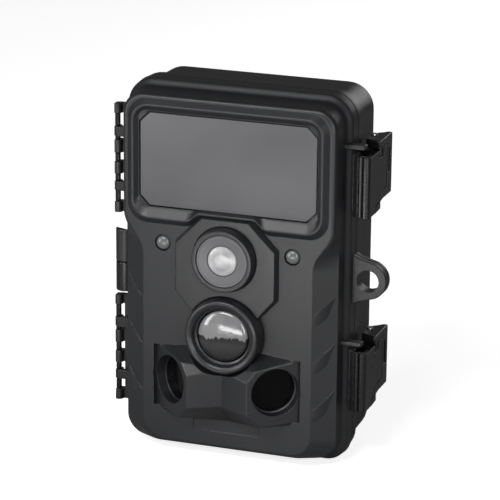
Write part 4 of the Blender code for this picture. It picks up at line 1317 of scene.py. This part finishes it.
def controlPanel():
    p = panelSet
    front, back = p["front"], p["back"]
    x0, z0, x1, z1 = p["screen"]
    panel = prism(
        "inner_panel", [tuple(q) for q in rounded(rectangle(39.6, 0.2, 133.2, 7.0), 8)], "Y", front, back,
        "innerMatte", edge=0.5,
    )
    kx, kz = p["keys"]
    outer = [
        (x1 + 0.6, z0 - 0.6, 2), (x1 + 0.6, z1 + 0.6, 2), (x0 - 0.6, z1 + 0.6, 2), (x0 - 0.6, z0 - 0.6, 2),
    ]
    inner = [
        (x1 - 2.2, z0 + 2.2, 0.8), (x1 - 2.2, z1 - 2.2, 0.8), (x0 + 2.2, z1 - 2.2, 0.8),
        (x0 + 2.2, z0 + 2.2, 0.8),
    ]
    rims = [plateRing("screenRim", outer, inner, back - 0.4, back + 0.7, 0.3)]
    rim = [(14.0, 0), (14.0, 0.9), (14.3, 1.1), (14.9, 1.1), (15.2, 0.9), (15.2, 0)]
    rims.append(turned("keyRim", rim, (kx, back - 0.5, kz), None, along=(0, 1, 0)))
    for k, z in enumerate(p["vents"]):
        low, high = (-p["ventHalf"], back - 0.4, z), (p["ventHalf"], back + 0.5, z + 1.2)
        rims.append(block(f"vent{k}", low, high, edge=0.3))
    shaped(panel, "UNION", rims)
    tools = [block("screenHole", (x0 + 2, front - 1, z0 + 2), (x1 - 2, back + 2, z1 - 2))]
    for name, (dx, dz) in keyPlaces.items():
        at = (kx + dx * p["keyGap"], kz + dz * p["keyGap"])
        tools.append(rod(f"keyHole{name}", (at[0], 11, at[1]), (at[0], 17, at[1]), p["keyHole"]))
    sx, sz = p["switch"]
    tools.append(block("switchSlot", (sx - 2.6, 11, sz - 2.0), (sx + 8.6, 17, sz + 2.0), edge=0.4))
    low, high = (sx - 4.2, back - 0.6, sz - 3.4), (sx + 10.2, back + 1, sz + 3.4)
    tools.append(block("switchDish", low, high, edge=0.5))
    cx0, cz0, cx1, cz1 = p["card"]
    tools.append(block("cardWindow", (cx0 - 1, front - 1, cz0 - 3.2), (cx1 + 1, back + 2, cz0 + 6)))
    low, high = (cx0 - 2.5, back - 0.7, cz0 - 3), (cx1 + 2.5, back + 1, cz0 + 11)
    tools.append(block("cardDish", low, high, edge=0.5))
    for k, (x, z) in enumerate(p["screws"] + p["moreSeats"]):
        tools.append(rod(f"screwSeat{k}", (x, front + 0.7, z), (x, back + 1, z), 2.6, sides=32))
    shaped(panel, "DIFFERENCE", tools)
    keep(smoothed(panel), "door", "inner_plastic", "control_panel")
    for k, (x, z) in enumerate(p["screws"]):
        head(f"panel_screw_head_{k + 1}", (x, front + 1.0, z), 2.2, 1.3, "door", f"panel_screw_{k + 1}")
    screen = block("inner_screen", (x0, 9.2, z0), (x1, 12.2, z1), "blackGlass", edge=0.3)
    keep(screen, "door", "black_window", "display_screen")


def head(name, at, radius, height, body, node):
    # a low domed screw head with a cross recess, facing the back
    x, y, z = at
    screw = turned(
        name, [(0, 0), (radius, 0), (radius, height * 0.5), (radius * 0.8, height * 0.9), (0, height)], at,
        "steel", ring=False, steps=48, along=(0, 1, 0),
    )
    wide, narrow = radius * 0.55, radius * 0.13
    low, high = y + height * 0.45, y + height * 2
    cross = [
        block(f"{name}A", (x - wide, low, z - narrow), (x + wide, high, z + narrow)),
        block(f"{name}B", (x - narrow, low, z - wide), (x + narrow, high, z + wide)),
    ]
    keep(smoothed(shaped(screw, "DIFFERENCE", cross)), body, "steel", node)


def keys():
    p = panelSet
    for name, (dx, dz) in keyPlaces.items():
        x, z = p["keys"][0] + dx * p["keyGap"], p["keys"][1] + dz * p["keyGap"]
        profile = [(0, 0), (p["key"], 0), (p["key"], 5.2), (3.05, 5.55), (2.7, 5.75), (2.2, 5.6), (0, 5.4)]
        key = turned(
            f"press_key_{name}", profile, (x, 9.6, z), "keyGrey", ring=False, steps=64, along=(0, 1, 0),
        )
        if dx or dz:
            tip, side = Vector((dx, dz)), Vector((-dz, dx))
            corners = [
                Vector((x, z)) + tip * 1.3, Vector((x, z)) - tip * 0.7 + side * 1.3,
                Vector((x, z)) - tip * 0.7 - side * 1.3,
            ]
            mark = prism(f"keyMark{name}", [tuple(q) for q in corners], "Y", 14.6, 15.4, edge=0.1)
        else:
            mark = turned(
                "keyMarkRing", [(0.9, 0), (0.9, 0.9), (1.4, 0.9), (1.4, 0)], (x, 14.5, z), None,
                along=(0, 1, 0), steps=32,
            )
        keep(smoothed(shaped(key, "UNION", [mark])), f"key_{name}", "key_plastic", f"key_{name}")


def slidingPieces():
    sx, sz = panelSet["switch"]
    knob = block("switch_knob", (sx - 2.2, 9.4, sz - 1.6), (sx + 2.2, 15.4, sz + 1.6), "keyGrey", edge=0.35)
    grooves = [
        block(f"knobGroove{k}", (sx - 1.5 + 1.2 * k, 15.0, sz - 2), (sx - 0.9 + 1.2 * k, 16, sz + 2))
        for k in range(3)
    ]
    keep(smoothed(shaped(knob, "DIFFERENCE", grooves)), "power_switch", "key_plastic", "power_switch")
    x0, z0, x1, z1 = panelSet["card"]
    outline = [(x0, z0 + 1.2), (x1, z0 + 1.2), (x1, z1 - 1.4), (x0 + 4, z1 - 1.4), (x0, z1 - 5.4)]
    card = prism("card_body", outline, "Y", 9.7, 11.8, "innerMatte", edge=0.25)
    ribs = [
        block(f"cardRib{k}", (x0 + 5, 11.5, z0 + 2 + 1.1 * k), (x1 - 5, 12.5, z0 + 2.5 + 1.1 * k))
        for k in range(3)
    ]
    keep(smoothed(shaped(card, "DIFFERENCE", ribs)), "memory_card", "inner_plastic", "memory_card")


bracketSet = {
    "half": 27.0, "low": 40.0, "high": 96.0, "front": 45.7, "back": 51.8, "strapLow": 54.0,
    "strapHigh": 82.0, "teeth": 6, "notches": (41.5, 85.5), "screws": (46, 90), "slotX": 14,
}


def treeBracket():
    b = bracketSet
    outline = [tuple(p) for p in rounded(rectangle(b["half"], b["low"], b["high"], 6.0), 8)]
    bracket = prism("tree_mount", outline, "Y", b["front"], b["back"], "innerMatte", edge=0.8)
    tools = [block("strapWay", (-30, 44, b["strapLow"]), (30, 49.7, b["strapHigh"]), edge=0.6)]
    for k, low in enumerate(b["notches"]):
        tools.append(block(f"barkNotch{k}", (-9, 50.2, low), (9, 54, low + 9), edge=0.4))
        for side in (-1, 1):
            for tooth in range(b["teeth"]):
                x = side * (12.0 + 2.2 * tooth)
                spans = ((b["low"] + 3, b["strapLow"] - 3), (b["strapHigh"] + 3, b["high"] - 3))
                notch = [(x - 1.0, b["back"] + 0.3), (x, b["back"] - 1.1), (x + 1.0, b["back"] + 0.3)]
                tools.append(prism(f"tooth{k}{side}{tooth}", notch, "Z", *spans[k]))
    for k, z in enumerate(b["screws"]):
        tools.append(rod(f"bracketBore{k}", (0, 44, z), (0, 54, z), 1.7, sides=32))
    for side in (-1, 1):
        x = side * b["slotX"]
        corners = [(x + 7, 59, 2.5), (x + 7, 77, 2.5), (x - 7, 77, 2.5), (x - 7, 59, 2.5)]
        slot = [tuple(p) for p in rounded(corners, 6)]
        tools.append(prism(f"bridgeSlot{side}", slot, "Y", 51.1, 53, edge=0.2))
    shaped(bracket, "DIFFERENCE", tools)
    keep(smoothed(bracket), "base", "inner_plastic", "tree_bracket")
    for k, z in enumerate(b["screws"]):
        head(f"mount_screw_{k + 1}", (0, 50.35, z), 3.0, 1.4, "base", f"bracket_screw_{k + 1}")


def tripodSocket():
    thread = tripodSet["thread"]
    bore = [(thread + 0.3 * (step % 2), -3.1 + 0.45 * step) for step in range(15)]
    profile = [(0, 5.0), (4.3, 5.0), (4.3, -2.9), (4.1, -3.1), (3.5, -3.1)] + bore
    profile += [(thread, 3.6), (0, 3.6)]
    keep(
        turned("tripod_nut", profile, (0, tripodSet["y"], 0), "brass", ring=False, steps=64, along=(0, 0, 1)),
        "base", "brass", "tripod_insert",
    )


finishes["cellJacket"] = mouldedFinish("cellJacket", cellFinish)
finishes["boardGreen"] = boardFinish()
cells()
contacts()
batteryCover()
controlPanel()
keys()
slidingPieces()
treeBracket()
tripodSocket()
print("inner pieces, bracket and socket made")


# finishes for the pieces kept from the frame
nodeFinish = {
    "seal_ring": "sealRubber", "battery_tray": "innerMatte", "infrared_board": "boardGreen",
    "lens_barrel": "innerMatte", "motion_detector": "steel", "side_detector_left": "steel",
    "side_detector_right": "steel", "main_board": "boardGreen",
    "card_slot": "steel", "usb_port": "steel", "link_pin_upper": "steel", "link_pin_lower": "steel",
}
for node, finish in nodeFinish.items():
    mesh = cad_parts[node].data
    mesh.materials.clear()
    mesh.materials.append(finishes[finish])
